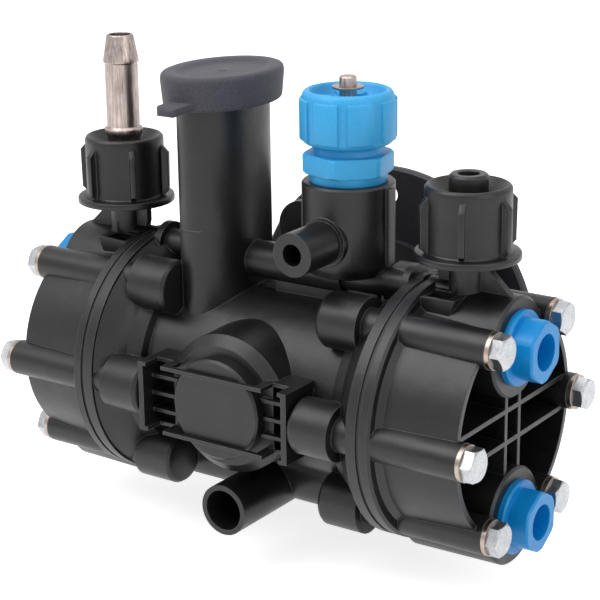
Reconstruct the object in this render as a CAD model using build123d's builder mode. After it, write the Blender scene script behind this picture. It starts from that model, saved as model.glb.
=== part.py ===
from build123d import *
import os
from math import cos, radians, sin, tan

# Twin diaphragm pump. Millimetres, +Z up.
# Origin: centre of the motor flange's bolt circle, on the face that meets the motor.
# +Y runs from the pump towards the motor, +X to the right head, seen from the front.
# Depths called y below are measured from the heads' axis, towards the motor.

# Layout
FACE_TO_HEADS = 70.0
SEAM_X = 56.5
BOLT_CIRCLE_R = 37.2
BOLT_ANGLES = (0.0, 57.0, 123.0, 180.0, 237.0, 303.0)
DELIVERY_Z = 26.1
SUCTION_Z = -32.0
DUCT_Z = 40.0
FIT = 0.05
GAP = 0.3

# Crankcase
FLANGE_R = 44.0
FLANGE_T = 3.6
BARREL_R = 30.0
BELL_X = 38.5
BELL_R = 36.0
BELL_NECK_X = 46.0
BELL_MOUTH_R = 43.0
CHAMBER_R = 24.0
CHAMBER_X = 31.0
BULKHEAD_X = 46.5
CAVITY_R = 30.0
BOSS_R = 9.5
BOSS_START_X = 31.0
BOSS_STEP_X = 46.5
BOSS_ROUND = 1.5
BOLT_BOSS_R = 6.2
FRONT_BOSS_R = 24.0
FRONT_BOSS_Y = -38.0
REAR_HOUSING_R = 33.0
REAR_JOINT_Y = 64.0
REAR_BORE_R = 27.0
LUG_CIRCLE_R = 48.4
LUG_R = 10.3
LUG_LENGTH = 6.0

# Mounting bracket on the front of the crankcase
BRACKET_FACE_Y = -45.0
BRACKET_BACK_Y = -29.0
BRACKET_X = 30.3
BRACKET_Z = 12.2
BRACKET_WALL = 2.0
BLADE_T = 1.3
BLADE_DEPTH = 1.7
SLOT_X = 20.5
SLOT_W = 6.5
SLOT_DEPTH = 7.0
CELL_RIB_T = 1.2

# Filler tube and oil cap
TUBE_X = -25.5
TUBE_HALF = (12.9, 20.3)
TUBE_WALL = 2.6
TUBE_TOP_Z = 102.0
BEAD_OUT = 2.2
BEAD_T = 4.0
CAP_HALF = (18.2, 25.2)
CAP_FOOT_Z = 93.8
CAP_TOP_Z = 105.2
CAP_DISH_HALF = (11.8, 18.2)
CAP_DISH_DEPTH = 1.4
TAB_X = 0.7
TAB_W = 11.0
TAB_Z = 92.8
TAB_T = 2.6
TAB_TIP_Y = -32.6
LEVEL_MARK_Z = 51.6
LEVEL_MARK = (10.0, 0.3, 0.8)
LEVEL_MARK_SHIFT = -1.0

# Delivery duct and pressure regulator
DUCT_R = 5.0
DUCT_WIDE_R = 6.4
DUCT_BORE_R = 3.2
DUCT_RING_R = 7.6
DUCT_RING_X = 49.6
DUCT_RING_T = 2.6
REG_X = 25.2
REG_R = 15.5
REG_BASE_Z = 41.0
REG_TOP_Z = 72.5
REG_RIB = (4.0, 3.4)
REG_PORT_R = 2.6
RELIEF_FLOOR_Z = 46.5
RELIEF_CHAMBER_R = 11.0
BYPASS_Z = 54.5
BYPASS_R = 7.25
BYPASS_BORE_R = 3.65
BYPASS_END_Y = -33.0
BYPASS_RING_R = 8.4
THREAD_R = 12.4
COLLAR_FOOT_Z = 57.5
COLLAR_SHOULDER_R = 12.9
HEX_Z = 75.4
HEX_T = 6.6
HEX_AF = 27.0
HEX_CORNERS_R = 15.3
HEX_TURN = 35.6
COLLAR_BORE_R = 8.6
NECK_R = 11.9
NECK_TOP_Z = 91.6
KNOB_R = 16.0
KNOB_BODY_R = 15.2
KNOB_Z = 85.1
KNOB_TOP_Z = 102.6
KNOB_WEB_Z = 93.5
KNOB_FLOOR_Z = 98.6
KNOB_DISH_R = 12.5
KNOB_PADS = 8
KNOB_PAD_W = 7.0
KNOB_PAD_TURN = 4.3
STEM_R = 2.85
STEM_TOP_Z = 106.9
CLIP_Z = 102.9
CLIP_R = 5.2
CLIP_T = 0.7
SEAT_T = 3.0
RELIEF_PORT_R = 4.0
POPPET_R = 6.5
SPRING_WIRE_R = 1.0
SPRING_MEAN_R = 6.2
SPRING_TURNS = 6
SEAT_PLATE_Z = 89.6
KNOB_HUB_R = 7.2

# Suction gallery and spout
GALLERY_R = 13.0
GALLERY_BORE_R = 6.5
GALLERY_BORE_Z = -34.0
SUCTION_PORT_Z = -38.0
SUCTION_PORT_R = 4.0
SPOUT_Z = -37.0
SPOUT_R = 8.9
SPOUT_BORE_R = 7.1
SPOUT_END_Y = -39.5

# Drive
SHAFT_R = 10.0
SHAFT_END_Y = 68.0
DRIVE_BORE_R = 6.0
DRIVE_BORE_DEPTH = 26.0
KEYWAY_W = 4.0
KEYWAY_DEPTH = 1.8
JOURNAL_R = 5.0
THROW = 3.0
ECCENTRIC_R = 8.5
ECCENTRIC_T = 5.0
WEB_R = 12.0
WEB_T = 4.0
BALANCE_R = 19.0
BALANCE_Y = 8.0
BALANCE_T = 6.0
ECC_BEARING_R = 13.0
FRONT_BEARING_R = 13.0
FRONT_BEARING_T = 8.0
FRONT_BEARING_Y = -35.0
REAR_BEARING_R = 21.0
REAR_BEARING_T = 12.0
REAR_BEARING_Y = 50.0
SEAL_T = 6.0
FRONT_CAP_R = 17.3
FRONT_CAP_T = 5.0
FRONT_CAP_SPIGOT = 3.0

# Motor flange
DISC_R = 60.1
DISC_T = 4.0
MOTOR_BOLT_R = 50.0
MOTOR_HOLE_R = 3.4
FLANGE_SCREW_R = 2.5
SCREW_HEAD_R = 5.0
SCREW_HEAD_T = 2.8
SCREW_TIP_Y = REAR_JOINT_Y - LUG_LENGTH + 1.5

# Yoke, pistons and diaphragms
WINDOW = ECC_BEARING_R + THROW + GAP
YOKE_HALF = WINDOW + 4.2
YOKE_T = 12.0
PISTON_ROD_R = 7.0
PISTON_SKIRT_R = 14.0
SKIRT_START_X = 31.0
SKIRT_LENGTH = 13.0
PISTON_NECK_R = 6.0
PLATE_R = 20.0
PLATE_T = 2.5
OUTER_PLATE_T = 3.0
DIAPHRAGM_T = 1.4
ROLL_DEPTH = 3.0
STUD_R = 3.0
STUD_HEAD_R = 5.5
STUD_END_X = 17.5

# Heads
HEAD_FLANGE_T = 3.6
DRUM_R = 37.7
DRUM_ROOT_R = 39.0
DRUM_WALL = 1.9
DRUM_RIM_X = 88.6
POCKET_FLOOR_X = 68.0
CHAMBER_FLOOR_X = 63.6
SEAT_X = 91.0
RING_R = 16.6
RING_FACE_X = 89.2
VALVE_BORE_R = 11.0
VALVE_FLOOR_X = 67.0
LATTICE_T = 1.6
LATTICE_Y = 4.4
LATTICE_Z = 5.5
LATTICE_X = 87.8
PORT_X = 70.3
PORT_NECK_R = 5.8
PORT_THREAD_R = 10.4
PORT_THREAD_Z = 53.6
PORT_TOP_Z = 66.0
PORT_BORE_R = 4.2
PORT_WEB = ((-8.2, 38.7), (-10.2, 46.6), (-10.2, 52.4), (6.1, 52.4), (17.0, 42.0), (17.0, 38.7))
LUG_OUTLINE = ((59.0, 41.5), (61.3, 35.8), (70.8, 35.9), (73.4, 42.0))
LUG_FRONT_Y = -13.0
LUG_DEPTH = 9.0
LUG_POCKET = (8.5, 6.4, 4.0)
DUCT_BOSS_R = 4.8
PASSAGE_R = 2.2
RISER_R = 1.8

# Valves
PLUG_FLANGE_R = 12.4
PLUG_FLANGE_T = 2.4
PLUG_END_X = 99.0
PLUG_HEX_AF = 19.0
PLUG_CORNERS_R = 10.3
PLUG_HOLE_R = 6.0
PLUG_HOLE_DEPTH = 6.0
PLUG_INNER_X = 78.0
PLUG_GROOVE_X = 81.0
RING_WIRE_R = 0.9
VALVE_SEAT_T = 3.0
VALVE_SEAT_BORE_R = 5.0
VALVE_DISC_R = 7.5
VALVE_DISC_T = 1.5
VALVE_STEM_R = 2.0
VALVE_STEM_LENGTH = 10.5
VALVE_LIFT = 2.0
VALVE_SPRING_MEAN_R = 3.6
VALVE_SPRING_WIRE_R = 0.35
VALVE_SPRING_TURNS = 4

# Wing nuts and hose tails
NUT_Z = 53.0
NUT_FLANGE_R = 17.3
NUT_FLANGE_T = 2.4
NUT_R = 14.0
NUT_TOP_Z = 77.0
NUT_CEILING_Z = 69.6
NUT_MOUTH_R = 12.0
NUT_EYE_R = 7.05
FIN_R = 16.6
FIN_T = 2.0
FINS = 6
FIN_TURN = {"right": -8.0, "left": 19.5}
GASKET_T = 0.8
TAIL_FLANGE_R = 9.8
TAIL_FLANGE_T = 2.6
STUB_R = 6.35
STUB_BORE_R = 3.5
STUB_TOP_Z = 80.3
BARB_TOP_Z = 112.6
BARB_R = 5.85
BARB_CONE_R = 6.3
BARB_TIP_R = 4.75
BARB_CONE_L = 9.5
BARB_COLLAR_R = 6.75
BARB_COLLAR_Z = 78.0
BARB_BORE_R = 3.8

# Head bolts, M6
BOLT_R = 3.0
BOLT_HOLE_R = 3.1
BOLT_AF = 10.0
BOLT_HEAD_T = 4.0
BOLT_FACE_R = 4.8
BOLT_END_X = 36.0
WASHER_R = 6.0
WASHER_T = 1.6

HEADS_Y = -FACE_TO_HEADS
ON_PLANE = (Align.CENTER, Align.CENTER, Align.MIN)
SEAM_HALF = DIAPHRAGM_T / 2
FLANGE_FACE_X = SEAM_X - SEAM_HALF
HEAD_FACE_X = SEAM_X + SEAM_HALF
SCREW_HEAD_Y = FACE_TO_HEADS - SCREW_HEAD_T - GAP


def facing_right(x, y=0.0, z=0.0):
    """Plane whose normal is +X; its own x and y run along +Y and +Z."""
    return Plane(origin=(x, HEADS_Y + y, z), x_dir=(0, 1, 0), z_dir=(1, 0, 0))


def facing_front(y, x=0.0, z=0.0):
    """Plane whose normal is -Y; its own x and y run along +X and +Z."""
    return Plane(origin=(x, HEADS_Y + y, z), x_dir=(1, 0, 0), z_dir=(0, -1, 0))


def facing_back(y, x=0.0, z=0.0):
    """Plane whose normal is +Y; its own x and y run along -X and +Z."""
    return Plane(origin=(x, HEADS_Y + y, z), x_dir=(-1, 0, 0), z_dir=(0, 1, 0))


def facing_up(z, x=0.0, y=0.0):
    return Plane(origin=(x, HEADS_Y + y, z))


def side_view(x, y=0.0):
    """Upright plane through a vertical axis, for outlines given as (radius, height)."""
    return Plane(origin=(x, HEADS_Y + y, 0), x_dir=(1, 0, 0), z_dir=(0, -1, 0))


def post(plane, radius, length, mode=Mode.ADD):
    """Round bar that stands on a plane."""
    with Locations(plane):
        Cylinder(radius, length, align=ON_PLANE, mode=mode)


def turned(plane, points, axis, mode=Mode.ADD):
    """Closed outline on a plane, turned about an axis."""
    with BuildSketch(plane) as outline:
        with BuildLine():
            Polyline(*points, close=True)
        make_face()
    revolve(outline.sketch, axis=axis, mode=mode)


def turned_upright(x, points, mode=Mode.ADD):
    """Outline of (radius, height) points turned about the vertical line at x."""
    turned(side_view(x), points, Axis((x, HEADS_Y, 0), (0, 0, 1)), mode)


def turned_along_x(z, points, mode=Mode.ADD, y=0.0):
    """Outline of (x, radius) points turned about the line along X at y and z."""
    turned(facing_front(y, 0, z), points, Axis((0, HEADS_Y + y, z), (1, 0, 0)), mode)


def turned_along_y(x, z, points, mode=Mode.ADD):
    """Outline of (y, radius) points turned about the line along Y at x and z."""
    plane = Plane(origin=(x, HEADS_Y, z), x_dir=(0, 1, 0), z_dir=(1, 0, 0))
    turned(plane, points, Axis((x, HEADS_Y, z), (0, 1, 0)), mode)


def bolt_places():
    """Each head bolt's (y, z)."""
    return [(BOLT_CIRCLE_R * cos(radians(a)), BOLT_CIRCLE_R * sin(radians(a))) for a in BOLT_ANGLES]


def oval_post(plane, half, grow, length, mode=Mode.ADD):
    """Upright oval bar, its half widths grown by the same step all round."""
    with BuildSketch(plane) as oval:
        Ellipse(half[0] + grow, half[1] + grow)
    extrude(oval.sketch, amount=length, mode=mode)


def square_places(radius):
    """Four (x, z) places at the corners of a square."""
    return [(radius * cos(radians(a)), radius * sin(radians(a))) for a in (45, 135, 225, 315)]


# Crankcase: one moulding. The symmetrical half first, then its mirror image, then what is single.
with BuildPart() as crankcase:
    turned_along_x(
        0,
        [
            (0, 0),
            (0, BARREL_R),
            (BELL_X, BARREL_R + 0.6),
            (BELL_X + 1, BARREL_R + 3.4),
            (BELL_NECK_X - 2, BELL_R - 0.6),
            (BELL_NECK_X, BELL_R + 2.2),
            (FLANGE_FACE_X - FLANGE_T, BELL_MOUTH_R),
            (FLANGE_FACE_X - FLANGE_T, FLANGE_R),
            (FLANGE_FACE_X, FLANGE_R),
            (FLANGE_FACE_X, 0),
        ],
    )
    for y, z in bolt_places():
        turned_along_x(
            z,
            [
                (BOSS_START_X, 0),
                (BOSS_START_X, BOSS_R - BOSS_ROUND),
                (BOSS_START_X + BOSS_ROUND / 4, BOSS_R - BOSS_ROUND / 2),
                (BOSS_START_X + BOSS_ROUND, BOSS_R),
                (BOSS_STEP_X, BOSS_R),
                (BOSS_STEP_X, BOLT_BOSS_R),
                (FLANGE_FACE_X, BOLT_BOSS_R),
                (FLANGE_FACE_X, 0),
            ],
            y=y,
        )
    post(facing_right(0, 0, SUCTION_Z), GALLERY_R, FLANGE_FACE_X)
    post(facing_right(REG_X, 0, DUCT_Z), DUCT_R, FLANGE_FACE_X - REG_X)
    post(facing_right(DUCT_RING_X, 0, DUCT_Z), DUCT_RING_R, DUCT_RING_T)
    with BuildSketch(facing_front(BRACKET_BACK_Y)) as bracket_outline:
        with Locations(((BRACKET_X + FRONT_CAP_R) / 2, 0)):
            Rectangle(BRACKET_X - FRONT_CAP_R, 2 * BRACKET_Z)
    extrude(bracket_outline.sketch, amount=BRACKET_BACK_Y - BRACKET_FACE_Y)
    mirror(about=Plane.YZ)

    turned_along_y(
        0,
        0,
        [
            (0, 0),
            (FRONT_BOSS_Y, 0),
            (FRONT_BOSS_Y, FRONT_BOSS_R - 3.4),
            (FRONT_BOSS_Y + 3.0, FRONT_BOSS_R),
            (0, FRONT_BOSS_R + 1.0),
        ],
    )
    post(facing_back(0), REAR_HOUSING_R, REAR_JOINT_Y)
    for x, z in square_places(LUG_CIRCLE_R):
        post(facing_front(REAR_JOINT_Y, x, z), LUG_R, LUG_LENGTH)
    with BuildSketch(facing_front(REAR_JOINT_Y)) as lug_webs:
        for angle in (45, 135):
            Rectangle(2 * LUG_CIRCLE_R, LUG_R, rotation=angle)
    extrude(lug_webs.sketch, amount=LUG_LENGTH - 2)

    # Oval filler tube and the bead that the cap grips
    oval_post(facing_up(0, TUBE_X), TUBE_HALF, 0, TUBE_TOP_Z)
    oval_post(facing_up(TUBE_TOP_Z - BEAD_T, TUBE_X), TUBE_HALF, BEAD_OUT, BEAD_T)
    oval_post(facing_up(DELIVERY_Z / 2, TUBE_X), TUBE_HALF, -TUBE_WALL, TUBE_TOP_Z, Mode.SUBTRACT)
    with BuildSketch(facing_up(LEVEL_MARK_Z, TUBE_X)) as level_mark:
        Ellipse(TUBE_HALF[0] + LEVEL_MARK[1], TUBE_HALF[1] + LEVEL_MARK[1])
        with Locations((LEVEL_MARK_SHIFT, -TUBE_HALF[1])):
            Rectangle(LEVEL_MARK[0], TUBE_HALF[1] / 2, mode=Mode.INTERSECT)
    extrude(level_mark.sketch, amount=LEVEL_MARK[2])

    # Delivery duct through the tube to both heads, and its web down to the barrel
    post(facing_right(-FLANGE_FACE_X + FLANGE_T, 0, DUCT_Z), DUCT_R, 2 * (FLANGE_FACE_X - FLANGE_T))
    wide_start_x = TUBE_X + TUBE_HALF[0] - TUBE_WALL / 2
    post(facing_right(wide_start_x, 0, DUCT_Z), DUCT_WIDE_R, REG_X - wide_start_x)
    with BuildSketch(facing_front(0, REG_X / 2 + 4, (BARREL_R + DUCT_Z) / 2 - 4)) as duct_web:
        Rectangle(REG_X + 16, DUCT_Z - BARREL_R + 2)
    extrude(duct_web.sketch, amount=BLADE_T, both=True)

    # Regulator housing with its moulded rib and the bypass spout
    turned_upright(
        REG_X,
        [
            (0, REG_BASE_Z),
            (REG_R - 4.5, REG_BASE_Z),
            (REG_R - 1.3, REG_BASE_Z + 1.3),
            (REG_R, REG_BASE_Z + 4.5),
            (REG_R, REG_TOP_Z - 0.6),
            (REG_R - 0.6, REG_TOP_Z),
            (0, REG_TOP_Z),
        ],
    )
    with BuildSketch(facing_up(REG_BASE_Z + 5, REG_X + REG_R - 0.7)) as housing_rib:
        Rectangle(*REG_RIB)
    extrude(housing_rib.sketch, amount=REG_TOP_Z - REG_BASE_Z - 6)
    post(facing_front(0, REG_X, BYPASS_Z), BYPASS_R, -BYPASS_END_Y)
    post(facing_front(-REG_R + 2.5, REG_X, BYPASS_Z), BYPASS_RING_R, 2.7)

    # Suction spout
    post(facing_front(0, 0, SPOUT_Z), SPOUT_R, -SPOUT_END_Y)

    # Oil chamber, bulkheads, bearing seats and the rear opening
    post(facing_right(-CHAMBER_X), CHAMBER_R, 2 * CHAMBER_X, Mode.SUBTRACT)
    post(facing_back(0), REAR_BORE_R, REAR_JOINT_Y, Mode.SUBTRACT)
    post(facing_right(-BULKHEAD_X), PISTON_SKIRT_R + FIT, 2 * BULKHEAD_X, Mode.SUBTRACT)
    for side in (1, -1):
        with BuildSketch(facing_right(side * BULKHEAD_X)) as cavity:
            Circle(CAVITY_R)
        extrude(cavity.sketch, amount=side * (FLANGE_FACE_X - BULKHEAD_X), mode=Mode.SUBTRACT)
    post(facing_front(0), JOURNAL_R + 3, -FRONT_BOSS_Y, Mode.SUBTRACT)
    post(
        facing_front(FRONT_BEARING_Y + FRONT_BEARING_T),
        FRONT_BEARING_R,
        FRONT_BEARING_Y + FRONT_BEARING_T - FRONT_BOSS_Y,
        Mode.SUBTRACT,
    )

    # Ducts and galleries
    post(facing_right(-FLANGE_FACE_X, 0, DUCT_Z), DUCT_BORE_R, 2 * FLANGE_FACE_X, Mode.SUBTRACT)
    post(facing_right(-FLANGE_FACE_X, 0, SUCTION_PORT_Z), SUCTION_PORT_R, 2 * FLANGE_FACE_X, Mode.SUBTRACT)
    post(
        facing_right(-BOSS_STEP_X + 3, 0, GALLERY_BORE_Z),
        GALLERY_BORE_R,
        2 * (BOSS_STEP_X - 3),
        Mode.SUBTRACT,
    )
    post(facing_front(0, 0, SPOUT_Z), SPOUT_BORE_R, -SPOUT_END_Y, Mode.SUBTRACT)
    post(facing_up(COLLAR_FOOT_Z, REG_X), THREAD_R + FIT, REG_TOP_Z - COLLAR_FOOT_Z, Mode.SUBTRACT)
    post(
        facing_up(RELIEF_FLOOR_Z, REG_X),
        RELIEF_CHAMBER_R,
        COLLAR_FOOT_Z - RELIEF_FLOOR_Z,
        Mode.SUBTRACT,
    )
    post(facing_up(DUCT_Z, REG_X), REG_PORT_R, RELIEF_FLOOR_Z - DUCT_Z, Mode.SUBTRACT)
    post(facing_front(0, REG_X, BYPASS_Z), BYPASS_BORE_R, -BYPASS_END_Y, Mode.SUBTRACT)

    # Bracket: open cells on both sides of the cap, slots through the top and bottom walls
    for side in (1, -1):
        inner_x = SLOT_X - 6.5
        cell_x = (BRACKET_X - BRACKET_WALL + inner_x) / 2
        cell_w = BRACKET_X - BRACKET_WALL - inner_x
        with BuildSketch(facing_front(BRACKET_FACE_Y, side * cell_x)) as cell:
            Rectangle(cell_w, 2 * (BRACKET_Z - BLADE_T))
        extrude(cell.sketch, amount=-(-BRACKET_FACE_Y + FRONT_BOSS_Y), mode=Mode.SUBTRACT)
        with BuildSketch(facing_front(FRONT_BOSS_Y, side * (SLOT_X + BRACKET_X - BRACKET_WALL) / 2)) as well:
            Rectangle(BRACKET_X - BRACKET_WALL - SLOT_X, 2 * (BRACKET_Z - BLADE_T))
        extrude(well.sketch, amount=-4.5, mode=Mode.SUBTRACT)
        with BuildSketch(facing_front(BRACKET_FACE_Y, side * (SLOT_X + SLOT_W / 2))) as slot:
            Rectangle(SLOT_W, 3 * BRACKET_Z)
        extrude(slot.sketch, amount=-SLOT_DEPTH, mode=Mode.SUBTRACT)
        with BuildSketch(facing_front(FRONT_BOSS_Y + 4.5, side * cell_x)) as cell_ribs:
            with GridLocations(0, BRACKET_Z / 2, 1, 3):
                Rectangle(cell_w + 1, CELL_RIB_T)
        extrude(cell_ribs.sketch, amount=6.5)
    with BuildSketch(facing_front(BRACKET_FACE_Y + BLADE_DEPTH)) as blades:
        with GridLocations(0, 2 * BRACKET_Z - BLADE_T, 1, 2):
            Rectangle(2 * SLOT_X, BLADE_T)
    extrude(blades.sketch, amount=BLADE_DEPTH)
    post(
        facing_front(FRONT_BOSS_Y),
        FRONT_CAP_R + 2 * GAP,
        FRONT_BOSS_Y - BRACKET_FACE_Y - BLADE_DEPTH,
        Mode.SUBTRACT,
    )

    # Screw holes for the heads and for the motor flange
    for y, z in bolt_places():
        for side in (1, -1):
            with BuildSketch(facing_right(side * FLANGE_FACE_X, y, z)) as hole:
                Circle(BOLT_HOLE_R)
            extrude(hole.sketch, amount=side * (BOLT_END_X - 1 - FLANGE_FACE_X), mode=Mode.SUBTRACT)
    for x, z in square_places(LUG_CIRCLE_R):
        post(facing_front(REAR_JOINT_Y, x, z), FLANGE_SCREW_R + FIT, LUG_LENGTH - 1, Mode.SUBTRACT)
crankcase.part.label = "crankcase"

# Blind cap over the front bearing
with BuildPart() as front_bearing_cap:
    turned_along_y(
        0,
        0,
        [
            (FRONT_BOSS_Y + FRONT_CAP_SPIGOT, 0),
            (FRONT_BOSS_Y + FRONT_CAP_SPIGOT, FRONT_BEARING_R - 2 * FIT),
            (FRONT_BOSS_Y, FRONT_BEARING_R - 2 * FIT),
            (FRONT_BOSS_Y, FRONT_CAP_R),
            (FRONT_BOSS_Y - FRONT_CAP_T + 0.8, FRONT_CAP_R),
            (FRONT_BOSS_Y - FRONT_CAP_T, FRONT_CAP_R - 0.8),
            (FRONT_BOSS_Y - FRONT_CAP_T, 0),
        ],
    )
    post(facing_front(FRONT_BOSS_Y + FRONT_CAP_SPIGOT), JOURNAL_R + 3, 3.5, Mode.SUBTRACT)
front_bearing_cap.part.label = "front_bearing_cap"


def ball_bearing(y, bore_r, outer_r, width, z=0.0):
    """Two rings and a ball set with its cage, joined into one sealed bearing by its shields."""
    shield = 0.6
    race = (outer_r - bore_r) * 0.28
    turned_along_y(
        0,
        z,
        [
            (y, bore_r),
            (y, bore_r + race),
            (y + shield, bore_r + race),
            (y + shield, outer_r - race),
            (y, outer_r - race),
            (y, outer_r),
            (y + width, outer_r),
            (y + width, outer_r - race),
            (y + width - shield, outer_r - race),
            (y + width - shield, bore_r + race),
            (y + width, bore_r + race),
            (y + width, bore_r),
        ],
    )


with BuildPart() as front_bearing:
    ball_bearing(FRONT_BEARING_Y, JOURNAL_R + FIT, FRONT_BEARING_R, FRONT_BEARING_T)
front_bearing.part.label = "front_bearing"

with BuildPart() as rear_bearing:
    ball_bearing(REAR_BEARING_Y, SHAFT_R + FIT, REAR_BEARING_R, REAR_BEARING_T)
rear_bearing.part.label = "rear_bearing"

with BuildPart() as eccentric_bearing:
    ball_bearing(-ECCENTRIC_T / 2, ECCENTRIC_R + FIT, ECC_BEARING_R, ECCENTRIC_T, THROW)
eccentric_bearing.part.label = "eccentric_bearing"

# Crankshaft: front journal, eccentric, web, balance weight and hollow drive end
with BuildPart() as crankshaft:
    post(facing_front(-ECCENTRIC_T / 2), JOURNAL_R, -FRONT_BEARING_Y - ECCENTRIC_T / 2 - GAP)
    post(facing_back(-ECCENTRIC_T / 2, 0, THROW), ECCENTRIC_R, ECCENTRIC_T + GAP)
    post(facing_back(ECCENTRIC_T / 2 + GAP), WEB_R, WEB_T)
    post(facing_back(ECCENTRIC_T / 2), SHAFT_R, SHAFT_END_Y - ECCENTRIC_T / 2)
    with BuildSketch(facing_back(BALANCE_Y)) as weight:
        Circle(BALANCE_R)
        with Locations((0, BALANCE_R)):
            Rectangle(2 * BALANCE_R, 2 * BALANCE_R, mode=Mode.SUBTRACT)
        Circle(SHAFT_R)
    extrude(weight.sketch, amount=BALANCE_T)
    post(facing_front(SHAFT_END_Y), DRIVE_BORE_R, DRIVE_BORE_DEPTH, Mode.SUBTRACT)
    with BuildSketch(facing_front(SHAFT_END_Y, 0, DRIVE_BORE_R)) as keyway:
        Rectangle(KEYWAY_W, 2 * KEYWAY_DEPTH)
    extrude(keyway.sketch, amount=DRIVE_BORE_DEPTH, mode=Mode.SUBTRACT)
    chamfer(edges().group_by(Axis.Y)[-1], 0.6)
crankshaft.part.label = "crankshaft"

# Motor flange: disc, hub with the rear bearing seat, spigot into the crankcase
with BuildPart() as motor_flange:
    post(facing_front(FACE_TO_HEADS), DISC_R, DISC_T)
    chamfer(edges(), 0.8)
    post(facing_front(FACE_TO_HEADS - 1), REAR_HOUSING_R, FACE_TO_HEADS - 1 - REAR_JOINT_Y)
    post(facing_front(REAR_JOINT_Y + 1), REAR_BORE_R - FIT, REAR_JOINT_Y + 1 - REAR_BEARING_Y)
    for x, z in square_places(LUG_CIRCLE_R):
        post(facing_front(FACE_TO_HEADS - 1, x, z), LUG_R, FACE_TO_HEADS - 1 - REAR_JOINT_Y)
    post(facing_front(REAR_BEARING_Y + REAR_BEARING_T), REAR_BEARING_R, REAR_BEARING_T, Mode.SUBTRACT)
    post(facing_front(FACE_TO_HEADS), REAR_BEARING_R - 3, FACE_TO_HEADS, Mode.SUBTRACT)
    for x, z in square_places(LUG_CIRCLE_R):
        post(facing_front(FACE_TO_HEADS, x, z), FLANGE_SCREW_R + FIT, FACE_TO_HEADS, Mode.SUBTRACT)
        turned_along_y(
            x,
            z,
            [
                (SCREW_HEAD_Y, 0),
                (SCREW_HEAD_Y, FLANGE_SCREW_R + FIT),
                (FACE_TO_HEADS, SCREW_HEAD_R + GAP + FIT),
                (FACE_TO_HEADS, 0),
            ],
            Mode.SUBTRACT,
        )
    for angle in (0, 90, 180, 270):
        place = (MOTOR_BOLT_R * cos(radians(angle)), MOTOR_BOLT_R * sin(radians(angle)))
        post(facing_front(FACE_TO_HEADS, *place), MOTOR_HOLE_R, FACE_TO_HEADS, Mode.SUBTRACT)
motor_flange.part.label = "motor_flange"

with BuildPart() as shaft_seal:
    seal_y = REAR_BEARING_Y + REAR_BEARING_T
    turned_along_y(
        0,
        0,
        [
            (seal_y, SHAFT_R + FIT),
            (seal_y, REAR_BEARING_R - 3),
            (seal_y + SEAL_T, REAR_BEARING_R - 3),
            (seal_y + SEAL_T, REAR_BEARING_R - 5),
            (seal_y + 2, REAR_BEARING_R - 5),
            (seal_y + 2, SHAFT_R + 1.5),
            (seal_y + SEAL_T - 1, SHAFT_R + 1.5),
            (seal_y + SEAL_T - 1, SHAFT_R + FIT),
        ],
    )
shaft_seal.part.label = "shaft_seal"

# Countersunk screws that hold the motor flange, one group
with BuildPart() as flange_screws:
    for x, z in square_places(LUG_CIRCLE_R):
        turned_along_y(
            x,
            z,
            [
                (SCREW_TIP_Y, 0),
                (SCREW_TIP_Y, FLANGE_SCREW_R),
                (SCREW_HEAD_Y, FLANGE_SCREW_R),
                (SCREW_HEAD_Y + SCREW_HEAD_T, SCREW_HEAD_R),
                (SCREW_HEAD_Y + SCREW_HEAD_T, 0),
            ],
        )
        with BuildSketch(facing_front(SCREW_HEAD_Y + SCREW_HEAD_T, x, z)) as socket:
            RegularPolygon(1.5, 6, major_radius=False)
        extrude(socket.sketch, amount=1.8, mode=Mode.SUBTRACT)
flange_screws.part.label = "flange_screws"

# Yoke: a window round the eccentric bearing, open by the throw on each side
with BuildPart() as yoke:
    with BuildSketch(facing_front(YOKE_T / 2)) as frame:
        RectangleRounded(2 * YOKE_HALF, 2 * YOKE_HALF, 9)
        RectangleRounded(2 * WINDOW, 2 * WINDOW, 4, mode=Mode.SUBTRACT)
    extrude(frame.sketch, amount=YOKE_T)
    post(facing_right(-YOKE_HALF), STUD_R + FIT, 2 * YOKE_HALF, Mode.SUBTRACT)
yoke.part.label = "yoke"

# Right piston with its inner diaphragm plate
inner_face_x = FLANGE_FACE_X
with BuildPart() as right_piston:
    turned_along_x(
        0,
        [
            (YOKE_HALF, STUD_R + FIT),
            (YOKE_HALF, PISTON_ROD_R),
            (SKIRT_START_X, PISTON_ROD_R),
            (SKIRT_START_X, PISTON_SKIRT_R - 0.8),
            (SKIRT_START_X + 0.8, PISTON_SKIRT_R),
            (SKIRT_START_X + SKIRT_LENGTH - 0.8, PISTON_SKIRT_R),
            (SKIRT_START_X + SKIRT_LENGTH, PISTON_SKIRT_R - 0.8),
            (SKIRT_START_X + SKIRT_LENGTH, PISTON_NECK_R),
            (inner_face_x - PLATE_T, PISTON_NECK_R),
            (inner_face_x - PLATE_T, PLATE_R - 1),
            (inner_face_x - PLATE_T + 1, PLATE_R),
            (inner_face_x, PLATE_R - 0.4),
            (inner_face_x, STUD_R + FIT),
        ],
    )
right_piston.part.label = "right_piston"

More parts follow.
